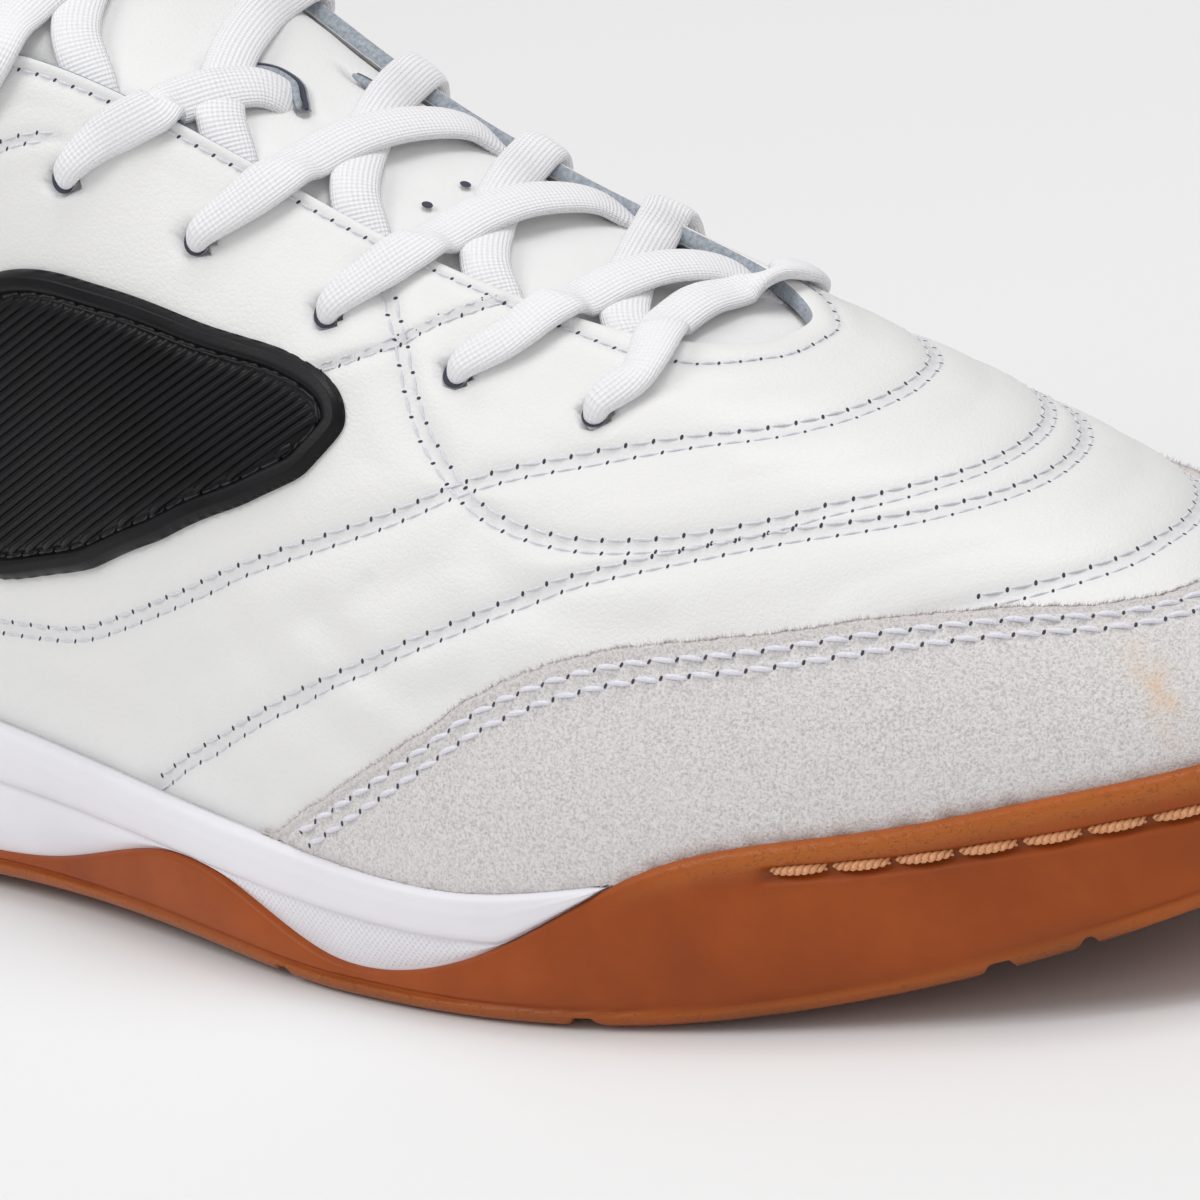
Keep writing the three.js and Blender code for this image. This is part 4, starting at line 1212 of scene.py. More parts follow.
def side_notches(x):
    """Depth of the few grooves that cut out through the rim."""
    away = np.min([np.abs(x - notch) for notch, _ in SIDE_NOTCHES], axis=0)
    half = np.interp(x, *zip(*SIDE_NOTCHES)) / 2
    return ramp_up((half - away) / 0.5 + 0.5) * TREAD_DEPTH


def tread_depth(points, rim):
    """Depth of all grooves under the sole, at points and their distances from the rim."""
    x, y = points[..., 0], points[..., 1]
    fine = ramp_up((0.35 - np.abs(np.mod(x + 0.6 * np.abs(y), 3.5) - 1.75)) / 0.2 + 0.5)
    within = ramp_up(rim - TREAD_RIM, 0.6)
    return np.maximum(side_notches(x), np.maximum(bar_grooves(x), fine * 0.45) * within)


def groove_share(u):
    """1 where the toe wrap has its stitched groove."""
    return ramp_up(side_of(u) - GROOVE_START, 0.06)


def sidewall(u):
    """Rows of points up the rubber's side, from under its rim to behind its top edge."""
    low = side_floor(u)
    top = rubber_top(u)
    notch = side_notches(side_x(u))
    groove = groove_height(u)
    bead = ramp_up(side_of(u) - 9.75, 0.8)
    rows = [sole_point(u, 2.4, low + notch), sole_point(u, 1.5, low + notch)]
    for share in np.concatenate([np.linspace(0, 0.3, 12), np.linspace(0.32, 1.0, 46)]):
        z = np.maximum(low + 0.2 + (top - low - 0.2) * share, low + notch)
        above = z - low
        out = rubber_swell(u, share)
        out -= 1.25 * bell(above, 0.6, 1.5)
        out += 0.3 * ramp_up(2.3 - above, 0.25)
        out -= 0.3 * bell(above - 2.5, 0.25)
        out -= GROOVE_DEPTH * groove_share(u) * bell(z - groove, GROOVE_WIDTH / 2, 4)
        out += 0.16 * groove_share(u) * bell(z - groove + 1.5, 0.3)
        out += 0.28 * bead * bell(z - top + 1.6, 1.3)
        out -= 0.45 * (1 - ramp_up(top - z, 0.5)) ** 2
        rows.append(sole_point(u, -out, z))
    lip = np.maximum(0, top - side_edge(u))
    rows.append(sole_point(u, 0.9, top + 0.05))
    rows.append(sole_point(u, np.maximum(1.2, RUBBER_WALL - lip * LIP_LEAN), top - 0.1))
    rows.append(sole_point(u, RUBBER_WALL + 0.2, np.minimum(top - 2.2 - lip, footbed(u))))
    return np.stack(rows)


def tread_plate(rim, start):
    """The grooved underside within the rim: its points, and faces that join them to the rim's."""
    half = len(rim) // 2
    back = np.concatenate([[0], np.arange(len(rim) - 1, half - 1, -1)])
    outer, inner = rim[: half + 1], rim[back]
    across = np.linspace(0, 1, TREAD_ROWS + 2)[1:-1]
    under = outer[None] + (inner - outer)[None] * across[:, None, None]
    under[..., 2] += tread_depth(under, distance_to(under, dense_line(rim, 1.0), 8.0))
    number = np.empty((TREAD_ROWS + 2, half + 1), int)
    number[0] = np.arange(half + 1)
    number[-1] = back
    number[1:-1] = start + np.arange(under[..., 0].size).reshape(under.shape[:2])
    quads = np.stack([number[:-1, :-1], number[1:, :-1], number[1:, 1:], number[:-1, 1:]], -1)
    faces = [list(dict.fromkeys(quad)) for quad in quads.reshape(-1, 4).tolist()]
    return under, [face for face in faces if len(face) > 2]


def make_outsole():
    u = symmetric_stations(OUTSOLE_COLUMNS)
    low = side_floor(u)
    points = sidewall(u)
    count, columns = points.shape[:2]
    under, tread = tread_plate(points[0], count * columns)
    faces = grid_faces(count, columns, wrap=True) + tread + lid((count - 1) * columns, columns, True)
    body = np.concatenate([points.reshape(-1, 3), under.reshape(-1, 3)])
    piece = mesh_piece("outsole_rubber", body, faces, "outsole", (RUBBER,))
    z = points[..., 2]
    clean = np.zeros(under[..., 0].size)
    # darker towards the floor, in patches
    soil_and_shade = 0.8 * darker_near_floor(points - low[None, :, None] * np.array([0, 0, 1.0]), 5.0, 21)
    # painted shade in the stitched groove
    crevice = bell(z - groove_height(u)[None], 0.7) * groove_share(u)
    # groove shade and near-floor darkening on the sides, the tread underneath a little darker
    paint(piece, "soil_and_shade", np.concatenate([ramp_up(soil_and_shade + 0.55 * crevice).ravel(), clean + 0.2]))
    # painted highlight along the lip of the toe wrap
    lighter_lip_and_band = bell(z - rubber_top(u)[None] + 1.2, 1.4) * ramp_up(side_of(u) - 9.7, 0.8)
    # a lighter band below the bevel line at the bottom
    lighter_lip_and_band += 0.55 * ramp_up(2.4 - z + low[None], 0.3)
    paint(piece, "lip_highlight_and_low_band", np.concatenate([(0.8 * lighter_lip_and_band).ravel(), clean]))


def foam_profile(u):
    """Rows of the foam's side as insets and heights, where it shows, and its band's two heights."""
    ledge = np.minimum(rubber_top(u) + 0.15, side_edge(u))
    shows = ramp_up(side_edge(u) - rubber_top(u) - 0.15, 0.9)
    low = side_floor(u)
    step = np.maximum(ledge + 0.1, low + (side_edge(u) - low) * STEP_SHARE)
    tall = np.maximum(side_edge(u) - step, 0.1)
    rows = [(2.4, ledge - 1.2), (STEP_IN + 0.05, ledge - 1.0)]
    for f in np.linspace(0, 1, 12):
        rows.append((STEP_IN - 0.35 * math.sin(math.pi * f), ledge + (step - ledge) * f))
    for f in np.linspace(0.04, 0.5, 6):
        rows.append((STEP_IN * (1 - f * 2) ** 2, step + tall * 0.12 * f * 2))
    for f in np.linspace(0.16, 0.9, 12):
        rows.append((-0.3 * math.sin(math.pi * f) - 0.12 * bell(f - 0.62, 0.05), step + tall * f))
    rows.append((0.15, step + tall * 0.97))
    rows += [(inset, side_edge(u) - lower) for inset, lower in FOAM_TOP]
    return rows, shows, ledge, step


def make_midsole():
    u = symmetric_stations(MIDSOLE_COLUMNS)
    profile, shows, ledge, step = foam_profile(u)
    rows = []
    hidden = side_edge(u) - 0.4
    behind = RUBBER_WALL + 0.1
    for inset, z in profile:
        rows.append(sole_point(u, behind + (inset - behind) * shows, hidden + (z - hidden) * shows))
    rows.append(sole_point(u, FLANGE + 0.4, footbed(u)))
    points = np.stack(rows)
    piece = stack_piece("midsole_foam", points, "midsole", FOAM)
    z = points[..., 2]
    band = ramp_up(step[None] - z, 0.6) * ramp_up(z - ledge[None], 0.4)
    side = side_of(u)
    band = band * (ramp_up(side - 6.4, 0.8) * ramp_up(9.3 - side, 0.5))[None]
    run = run_along(points[10])
    paint(piece, "dot_band", band)
    paint(piece, "along", np.broadcast_to(run[None], z.shape))
    paint(piece, "height", z)
    # darker towards the floor, in patches
    paint(piece, "soil_and_shade", 0.18 * darker_near_floor(points, 26.0, 9))


def make_insole():
    u = symmetric_stations(INSOLE_COLUMNS)
    rows = [
        sole_point(u, FLANGE + UPPER_WALL + inset, footbed(u) + height) for inset, height in INSOLE_ROWS
    ]
    piece = stack_piece("insole_pad", np.stack(rows), "insole", INSOLE)


# Suede guard


def guard_shares(u, edge):
    """Low and high edge of the guard as shares of the way up, the high one cut a little ragged."""
    dense = np.linspace(0, 0.3, 200)
    low = read_columns(edge, upper_point(u[None], dense[:, None])[..., 2], dense)
    at_edge = upper_point(u, 0.3)
    ragged = 0.0016 * soft_noise(at_edge, 1.6, 31) + 0.002 * soft_noise(at_edge, 9.0, 32)
    return low, np.maximum(guard_top(u), low + 0.004) + ragged


def make_guard():
    u = even_stations(GUARD_COLUMNS, first=GUARD_START, last=STATIONS - GUARD_START)
    edge = np.maximum(side_edge(u), rubber_top(u) - 0.9)
    low, high = guard_shares(u, edge)
    grid_v = low[None] + (high - low)[None] * np.linspace(0, 1, GUARD_ROWS)[:, None] ** 0.85
    grid_u = np.broadcast_to(u, grid_v.shape)
    base = upper_point(grid_u, grid_v)
    distance = np.abs(high[None] - grid_v) * GUARD_SHARE_LENGTH
    height = GUARD_THICKNESS - 0.55 * np.exp(-distance / 0.7)
    for offset in GUARD_STITCHES:
        height = height - 0.3 * bell(distance - offset, 0.75)
    height += 0.12 * soft_noise(base, 22.0, 33)
    normal = upper_normal(grid_u, grid_v)
    bottom_edge = base[-1] + normal[-1] * -0.6
    points = np.concatenate([base + normal * height[..., None], bottom_edge[None]])
    faces = grid_faces(*points.shape[:2])
    piece = mesh_piece("toe_guard_suede", points, faces, "toe_guard", (SUEDE,))
    paint_guard(piece, points, u, edge, np.concatenate([distance, distance[-1:]]))


def paint_guard(piece, points, u, edge, distance):
    """The orange stain at the toe, patchy painted contact shadow near the sole, deepest behind the
    rubber's lip, and darkening along the cut edge.
    """
    offset = points - upper_point(*STAIN_PLACE)
    stain = bell(offset[..., 2], 4.6) * bell(offset[..., 1] - 0.3 * offset[..., 2], 1.3)
    paint(piece, "stain", 0.62 * stain * ramp_up(0.6 + 0.5 * soft_noise(points, 3.0, 35)))
    # painted contact shadow, patchy, deepest where the rubber's lip rises over the suede
    behind_lip = ramp_up(rubber_top(u) - side_edge(u))
    near_sole = ramp_up(1 - (points[..., 2] - edge - behind_lip) / 1.4)
    soil_and_shade = (0.25 + 0.5 * behind_lip) * near_sole * ramp_up(0.6 + 0.4 * soft_noise(points, 4.0, 36))
    # plus a darker band along the cut edge
    paint(piece, "soil_and_shade", soil_and_shade + 0.16 * bell(distance, 2.0, 4))


# Side panels


def panel_outline(count=PANEL_COLUMNS):
    """The panel's rounded outline as station and share pairs."""
    low = [(u, a) for u, a, _ in PANEL]
    high = [(u, b) for u, _, b in PANEL]
    closed = low + high[::-1] + low[:1]
    line = dense_line(np.array(closed) * PANEL_SCALE, 0.25)[:-1]
    width = 13
    kernel = np.hanning(2 * width + 1)
    kernel /= kernel.sum()
    padded = np.vstack([line[-width:], line, line[:width]])
    line = np.stack([np.convolve(padded[:, k], kernel, "valid") for k in (0, 1)], -1)
    step = np.linspace(0, len(line), count, endpoint=False)
    closed_line = np.vstack([line, line[:1]])
    return read_line(closed_line, np.arange(len(closed_line)), step) / PANEL_SCALE


def panel_height(distance):
    """The panel's thickness: a rolled border, a stitched channel and a ribbed field inside."""
    roll = 1.5 * ramp_up(distance, 0.9) ** 0.5
    channel = 0.55 * bell(distance - PANEL_STITCH_INSET, 0.5)
    field = 0.35 * ramp_up(distance - 2.4, 0.8)
    return roll - channel - field


def make_panel(name, node, inner):
    outline = panel_outline()
    centre_u = np.clip(outline[:, 0], *PANEL_CENTRE)
    middle = [(low + high) / 2 for _, low, high in PANEL]
    centre = np.stack([centre_u, np.interp(centre_u, [row[0] for row in PANEL], middle)], -1)
    rings = np.concatenate([np.linspace(0, 0.6, 16), np.linspace(0.62, 1.0, 46)])
    grid = centre[None] + (outline - centre)[None] * rings[:, None, None]
    flip = station_reader(inner)
    border = dense_line(upper_point(flip(outline[:, 0]), outline[:, 1]), 0.4)
    base = upper_point(flip(grid[..., 0]), grid[..., 1])
    distance = distance_to(base, border, 30.0)
    height = 0.15 + panel_height(distance)
    normal = upper_normal(flip(grid[..., 0]), grid[..., 1])
    points = base + normal * height[..., None]
    points = np.concatenate([points, (base[-1] + normal[-1] * -0.2)[None]])
    count, width = points.shape[:2]
    faces = grid_faces(count, width, wrap=True, flip=inner)
    mesh_piece(name, points, faces, node, (PANEL_BLACK,))
    make_ribs(name + "_ribs", outline, border, flip)
    return line_inside(outline, centre, PANEL_STITCH_INSET, border, flip)


def line_inside(outline, centre, inset, border, flip):
    """The line that runs at one distance inside a panel's outline."""
    line = []
    shares = np.linspace(0.5, 1.0, 60)
    for out, mid in zip(outline[::4], centre[::4]):
        pairs = mid + (out - mid) * shares[:, None]
        gap = distance_to(upper_point(flip(pairs[:, 0]), pairs[:, 1]), border, 30.0)
        line.append(pairs[np.argmin(np.abs(gap - inset))])
    line.append(line[0])
    return np.array(line)


def rib_lines(outline, border, flip):
    """Slanted straight lines across the panel's field, as station and share pairs."""
    slope = math.radians(RIB_SLOPE)
    columns = np.linspace(outline[:, 0].min(), outline[:, 0].max(), 420)
    shares = np.linspace(0.3, 0.76, 160)
    field = upper_point(flip(columns)[None], shares[:, None])
    place = field[..., 2] * math.cos(slope) - field[..., 0] * math.sin(slope)
    wanted = np.arange(place.min(), place.max(), PANEL_RIB_PITCH)
    crossing = np.stack([np.interp(wanted, column, shares, left=-1, right=-1) for column in place.T])
    for share in crossing.T:
        pairs = np.stack([columns, share], -1)
        keep = (share > 0) & inside(pairs * PANEL_SCALE, outline * PANEL_SCALE)
        if keep.sum() < 4:
            continue
        gap = distance_to(upper_point(flip(pairs[keep, 0]), pairs[keep, 1]), border, 12.0)
        run = np.nonzero(keep)[0][gap > PANEL_BORDER + 0.15]
        if len(run) < 4:
            continue
        line = dense_line(pairs[run[0] : run[-1] + 1] * PANEL_SCALE, 0.8) / PANEL_SCALE
        if len(line) > 2:
            yield line


def make_ribs(name, outline, border, flip):
    """Fine raised ribs, each a low half-round bar."""
    bars = Joined()
    for line in rib_lines(outline, border, flip):
        base = upper_point(flip(line[:, 0]), line[:, 1])
        normal = upper_normal(flip(line[:, 0]), line[:, 1])
        sideways = unit(np.cross(np.gradient(base, axis=0), normal))
        order = np.arange(len(line))
        ends = np.minimum(1, np.minimum(order, order[::-1]) / 1.5)
        ring = (
            base[:, None]
            + normal[:, None] * (RIB_BASE + RIB_SECTION[None, :, 1:] * ends[:, None, None])
            + sideways[:, None] * RIB_SECTION[None, :, :1]
        )
        bars.add(ring.reshape(-1, 3), grid_faces(len(line), len(RIB_SECTION), flip=True))
    bars.piece(name, "black_panel", PANEL_BLACK)


def inside(points, polygon):
    """Which points lie inside a polygon, by counting crossings."""
    x, y = points[:, 0:1], points[:, 1:2]
    ax, ay = polygon[:, 0], polygon[:, 1]
    bx, by = np.roll(ax, -1), np.roll(ay, -1)
    crosses = (ay > y) != (by > y)
    at = ax + (y - ay) * (bx - ax) / np.where(by == ay, 1e-9, by - ay)
    return (crosses & (x < at)).sum(1) % 2 == 1


# Tongue

TONGUE_TOP = EYELET_STATIONS[EYELETS - 1] + 0.1


def arch_point(u, across):
    """A point of the arch that spans the throat, from the outer edge (0) to the inner (1)."""
    u, across = np.broadcast_arrays(np.asarray(u, float), np.asarray(across, float))
    under = -(UPPER_WALL + LAY_CLEARANCE)
    ends = []
    for at in (u, STATIONS - u):
        ends.append((off_upper(at, 1.0, under), unit(upper_point(at, 1.0) - upper_point(at, 0.98))))
    (a, a_way), (b, b_way) = ends
    width = np.linalg.norm(b - a, axis=-1, keepdims=True) * TONGUE_ARCH
    return bezier(a, a + a_way * width, b + b_way * width, b, across[..., None])


def arch_face(u, across):
    small = 0.02
    along = arch_point(u + small, across) - arch_point(u - small, across)
    over = arch_point(u, np.minimum(1, across + small)) - arch_point(u, np.maximum(0, across - small))
    return unit(np.cross(along, over))


def free_top(rows):
    """Rows of the tongue's free top, that carry on from the rows under the laces."""
    width = len(rows[0])
    across = np.linspace(-1, 1, width)
    crown = rows[-1][(width - 1) // 2]
    ends = []
    for back, up, half, arch in TONGUE_END:
        ends.append(np.stack([
            np.full(width, crown[0] - back * TONGUE_RISE),
            crown[1] + across * half * TONGUE_RISE,
            crown[2] + up * TONGUE_RISE - arch * TONGUE_RISE * across**2,
        ], -1))
    control = [rows[-8], rows[-1], *ends, 2 * ends[-1] - ends[-2]]
    steps = np.arange(1, 10) / 9
    return [between(*control[k : k + 4], t) for k in range(len(control) - 3) for t in steps]


def tongue_sheet():
    """Rows of the tongue's upper face, from the toe end to its free top."""
    spans, side_steps, across_steps = TONGUE_GRID
    under = -(UPPER_WALL + LAY_CLEARANCE)
    rows = []
    for i in range(spans + 1):
        u = TOE + (TONGUE_TOP - TOE) * i / spans
        overlap = np.interp(u, (TONGUE_TOP, TONGUE_TOP + 2), (TONGUE_TOP_OVERLAP, TONGUE_OVERLAP))
        below = overlap * (1 - np.arange(side_steps) / side_steps)
        outer, inner = (
            off_upper(at, share_below_edge(np.full(side_steps, at), below), under)
            for at in (u, STATIONS - u)
        )
        middle = arch_point(u, np.linspace(0, 1, across_steps + 1))
        rows.append(np.concatenate([outer, middle, inner[::-1]]))
    return np.stack(rows + free_top(rows))


def sheet_normals(sheet):
    return unit(np.cross(np.gradient(sheet, axis=1), np.gradient(sheet, axis=0)))


def tongue_relief(sheet, border):
    """How far the tongue's face stands out, and how much painted shade falls along its stitching and slits
    (0 to 1).
    """
    across = run_along(sheet.swapaxes(0, 1)).T
    along = run_along(sheet)
    free_part = ramp_up(along - along[len(sheet) - TONGUE_FREE_ROWS], 12)
    crown = np.cos(math.pi * (across / across[:, -1:] - 0.5))
    puff = TONGUE_PAD * free_part * (1 - np.exp(-border / 5.0)) * crown
    stitch = 0.35 * free_part * bell(border - TONGUE_STITCH, 0.7)
    wrinkle = 0.16 * soft_noise(sheet, 26.0, 41) + 0.05 * soft_noise(sheet, 7.0, 42)
    # painted shade in the stitched trough round the free top, then in the slits
    trough_shade = bell(border - TONGUE_STITCH, 0.5) * free_part
    height = puff - stitch + wrinkle - 0.16
    for pairs in SLITS:
        gap = distance_to(sheet, dense_line(arch_point(*smooth_curve(pairs, 40).T), 0.3), 5.0)
        height -= 1.2 * bell(gap, 0.8)
        trough_shade = np.maximum(trough_shade, bell(gap, 1.1))
    return height, trough_shade


def rim_faces(count, width):
    """Faces round the border of two equal sheets that follow each other in a piece's points."""
    rim = (
        [(0, c) for c in range(width)]
        + [(r, width - 1) for r in range(1, count)]
        + [(count - 1, c) for c in range(width - 2, -1, -1)]
        + [(r, 0) for r in range(count - 2, 0, -1)]
    )
    rim = [r * width + c for r, c in rim]
    below = count * width
    return [[q, p, below + p, below + q] for p, q in zip(rim, rim[1:] + rim[:1])]


def make_tongue():
    sheet = tongue_sheet()
    normal = sheet_normals(sheet)
    count, width = sheet.shape[:2]
    outline = np.concatenate([sheet[:, 0], sheet[-1], sheet[::-1, -1]])
    border = distance_to(sheet, dense_line(outline), 24.0)
    height, trough_shade = tongue_relief(sheet, border)
    round_off = 1 - ramp_up(border, 2.2)
    drop_edge = TONGUE_THICKNESS / 2 * (1 - np.sqrt(ramp_up(1 - round_off**2)))
    over = sheet + normal * (height - drop_edge)[..., None]
    below = sheet - normal * (TONGUE_THICKNESS - drop_edge)[..., None]
    face = grid_faces(count, width)
    back = grid_faces(count, width, start=count * width, flip=True)
    rim = rim_faces(count, width)
    kinds = [0] * len(face) + [1] * len(back) + [0] * len(rim)
    points = np.stack([over, below])
    materials = (TONGUE_LEATHER, LINING)
    faces = face + back + rim
    piece = mesh_piece("tongue_leather", points, faces, "tongue", materials, kinds)
    paint(piece, "trough_shade", np.stack([trough_shade, 0 * trough_shade]))


# Laces


def flowing_line(points, count):
    """A smooth line through points that lie unevenly apart."""
    points = np.asarray(points, float)
    gap = np.sqrt(np.linalg.norm(np.diff(points, axis=0), axis=1) + 1e-9)
    at = np.concatenate([[0], np.cumsum(gap)])
    slope = np.empty_like(points)
    steps = np.diff(points, axis=0) / np.diff(at)[:, None]
    slope[0], slope[-1] = steps[0], steps[-1]
    weight = (gap[:-1] / (gap[:-1] + gap[1:]))[:, None]
    slope[1:-1] = steps[:-1] * (1 - weight) + steps[1:] * weight
    where = np.linspace(0, at[-1], count)
    k = np.clip(np.searchsorted(at, where) - 1, 0, len(gap) - 1)
    h = (at[k + 1] - at[k])[:, None]
    t = (where - at[k])[:, None] / h
    return (
        (2 * t**3 - 3 * t**2 + 1) * points[k]
        + (t**3 - 2 * t**2 + t) * h * slope[k]
        + (3 * t**2 - 2 * t**3) * points[k + 1]
        + (t**3 - t**2) * h * slope[k + 1]
    )


def hole_start(u, toward):
    """Path points and faces where a strand comes up out of an eyelet towards a point."""
    share = share_at(u, EYELET_EDGE)
    centre = upper_point(u, share)
    normal = upper_normal(u, share)
    up = toward - centre
    up = unit(up - normal * (up @ normal))
    points = [centre + normal * out + up * over for out, over in HOLE_PATH]
    faces = [-up, -up * 0.9 + normal * 0.2, unit(normal - up * 0.9)]
    return points, faces


def edge_station(x):
    return station_where(edge_x, x, THROAT_SEARCH, TOE)


def strand_path(number, from_inner, ahead, far_number, lift, is_bar=False, into_slit=False):
    """Centre points and face directions of one strand, from its eyelet across the throat."""
    flip = station_reader(from_inner)
    raised = LACE_CLEARANCE + LACE_THICKNESS / 2
    hole, far_hole = EYELET_STATIONS[number], EYELET_STATIONS[far_number]
    near = edge_station(eyelet_x(flip(hole)) + ahead[0])
    far = edge_station(eyelet_x(flip(far_hole)) + ahead[1])
    middle = hole + (near - hole) * 0.5
    halfway = share_at(flip(hole), EYELET_EDGE / 2)
    points, faces = hole_start(flip(hole), upper_point(flip(middle), halfway))

    def over_leather(u, v, height):
        points.append(off_upper(u, v, height))
        faces.append(upper_normal(u, v))

    def over_arch(u, across, height):
        faces.append(arch_face(u, np.clip(across, 0, 1)))
        points.append(arch_point(u, across) + faces[-1] * height)

    over_leather(flip(middle), halfway, raised)
    over_leather(flip(near), 1.0, raised)
    if into_slit:
        for place in SLIT_PATH:
            over_arch(*place)
        return points, faces
    for way, lower in BAR_WAY if is_bar else STRAND_WAY:
        height = raised + lower + lift * math.sin(math.pi * min(1, way * 1.1))
        over_arch(near + (far - near) * way, 1 - way if from_inner else way, height)
    if is_bar:
        over_leather(STATIONS - far, 1.0, raised)
        end_points, end_faces = hole_start(STATIONS - far_hole, points[-1])
        return points + end_points[::-1], faces + end_faces[::-1]
    hidden = far if from_inner else STATIONS - far
    for below, depth in HIDDEN_END:
        over_leather(hidden, share_at(hidden, below), -depth)
    return points, faces


def strand_rings(points, faces, ends):
    """Rings of points round a flat braided strand that bunches where it enters an eyelet."""
    count = int(run_along(points)[-1] / 0.45)
    centre = flowing_line(points, count)
    face = flowing_line(faces, count)
    tangent = unit(np.gradient(centre, axis=0))
    side = unit(np.cross(tangent, face))
    face = unit(np.cross(side, tangent))
    run = run_along(centre)
    from_end = np.minimum(run, run[-1] - run) if ends == 2 else run
    open_share = ramp_up(from_end - 2.5, 11) ** 0.7
    half = BUNCHED[0] + (LACE_WIDTH / 2 - BUNCHED[0]) * open_share
    thick = BUNCHED[1] + (LACE_THICKNESS / 2 - BUNCHED[1]) * open_share
    if ends == 1:
        thick *= 1 - HIDDEN_FLAT * bell(run[-1] - run, 3.0)
    turns = np.linspace(0, 2 * math.pi, 24, endpoint=False)
    c, s = np.cos(turns), np.sin(turns)
    a = np.sign(c) * np.abs(c) ** 0.8
    b = np.sign(s) * np.abs(s) ** 0.8
    sag = 0.22 * soft_noise(centre, 21.0, 51)
    ring = (
        centre[:, None]
        + side[:, None] * (half[:, None] * a[None])[..., None]
        + face[:, None] * (thick[:, None] * b[None] * (1 - 0.1 * a[None] ** 2) + sag[:, None])[..., None]
    )
    along = np.broadcast_to(run[:, None], ring.shape[:2])
    across = half[:, None] * np.arcsin(np.clip(a, -1, 1))[None] * 0.9
    return ring, along, across, from_end


def make_laces():
    strands = [(strand_path(0, False, FRONT_BAR, 0, 0.5, True), 2)]
    for number in range(1, EYELETS):
        strands.append((strand_path(number, True, INNER_STRAND, number - 1, 0.0), 1))
        into_slit = number == SLIT_STRAND
        ahead = SLIT_START if into_slit else OUTER_STRAND
        path = strand_path(number, False, ahead, number - 1, LACE_LIFT, into_slit=into_slit)
        strands.append((path, 1))
    lace = Joined()
    layers = {"along": [], "across": [], "soil_and_shade": []}
    for k, ((path, turns), ends) in enumerate(strands):
        ring, along, across, from_end = strand_rings(path, turns, ends)
        lace.add(ring.reshape(-1, 3), grid_faces(*ring.shape[:2], wrap=True, flip=True))
        # painted shade near the ends that lie in the eyelets
        soil_and_shade = np.broadcast_to((0.5 * np.exp(-from_end / 2.6))[:, None], along.shape)
        for layer, values in zip(layers.values(), (along + 3.3 * k, across, soil_and_shade)):
            layer.append(values.ravel())
    piece = lace.piece("lace_strands", "lace", LACE, "lace")
    for name, values in layers.items():
        paint(piece, name, np.concatenate(values))


# Stitches, and painted shade in needle holes and punched holes


def tube(path, normal, width, height, sides=8):
    """A soft rod along a path, sunk at both ends."""
    tangent = unit(np.gradient(path, axis=0))
    side = unit(np.cross(tangent, normal))
    turns = np.linspace(0, 2 * math.pi, sides, endpoint=False)
    share = np.sin(np.linspace(0.12, math.pi - 0.12, len(path)))[:, None] ** 0.4
    ring = (
        path[:, None]
        + side[:, None] * (width / 2 * share * np.cos(turns))[..., None]
        + normal[:, None] * (height / 2 * share * np.sin(turns))[..., None]
    )
    faces = grid_faces(len(path), sides, wrap=True, flip=True)
    faces.append(list(range(sides)))
    faces.append([len(path) * sides - 1 - i for i in range(sides)])
    return ring.reshape(-1, 3), faces


def disc(centre, normal, along, long_half, short_half, sides=10):
    side = unit(np.cross(normal, along))
    turns = np.linspace(0, 2 * math.pi, sides, endpoint=False)
    ring = centre + along * long_half * np.cos(turns)[:, None] + side * short_half * np.sin(turns)[:, None]
    middle = centre + normal * 0.03
    points = np.concatenate([ring, middle[None]])
    return points, [[i, (i + 1) % sides, sides] for i in range(sides)]


def sew(surface, line, threads, holes, stitch, later=0.0):
    """Lays a row of stitches along a line of points, with a dark disc of painted shade for each needle
    hole.
    """
    pitch, phase, width, height, lift, slant, *hole = stitch
    line = dense_line(line, 0.2)
    run = np.arange(len(line)) * 0.2
    starts = np.arange((phase + later) * pitch, run[-1] - pitch, pitch)
    for start in starts:
        ends = [read_line(line, run, start + f * pitch) for f in (0, STITCH_LENGTH)]
        middle_line = np.linspace(*ends, 6)
        places, normals = surface.lay(middle_line)
        side = unit(np.cross(ends[1] - ends[0], normals[0]))
        lean_over = side * slant * np.linspace(-0.5, 0.5, 6)[:, None]
        arch = np.sin(np.linspace(0, math.pi, 6))[:, None]
        path = places + lean_over + normals * (lift * arch - 0.12 * (1 - arch))
        threads.add(*tube(path, normals, width, height))
        if holes is not None:
            place, normal = surface.lay([read_line(line, run, start - pitch * (1 - STITCH_LENGTH) / 2)])
            along = unit(np.cross(normal[0], ends[1] - ends[0]) + 0.45 * (ends[1] - ends[0]))
            # painted shade in the needle hole
            holes.add(*disc(place[0] + normal[0] * 0.03, normal[0], along, *hole))


def beside(curve, distance):
    """A row's line set off to one side, as points on the upper."""
    points = on_upper(curve)
    normal = upper_normal(curve[:, 0], curve[:, 1])
    side = unit(np.cross(np.gradient(points, axis=0), normal))
    return points + side * distance


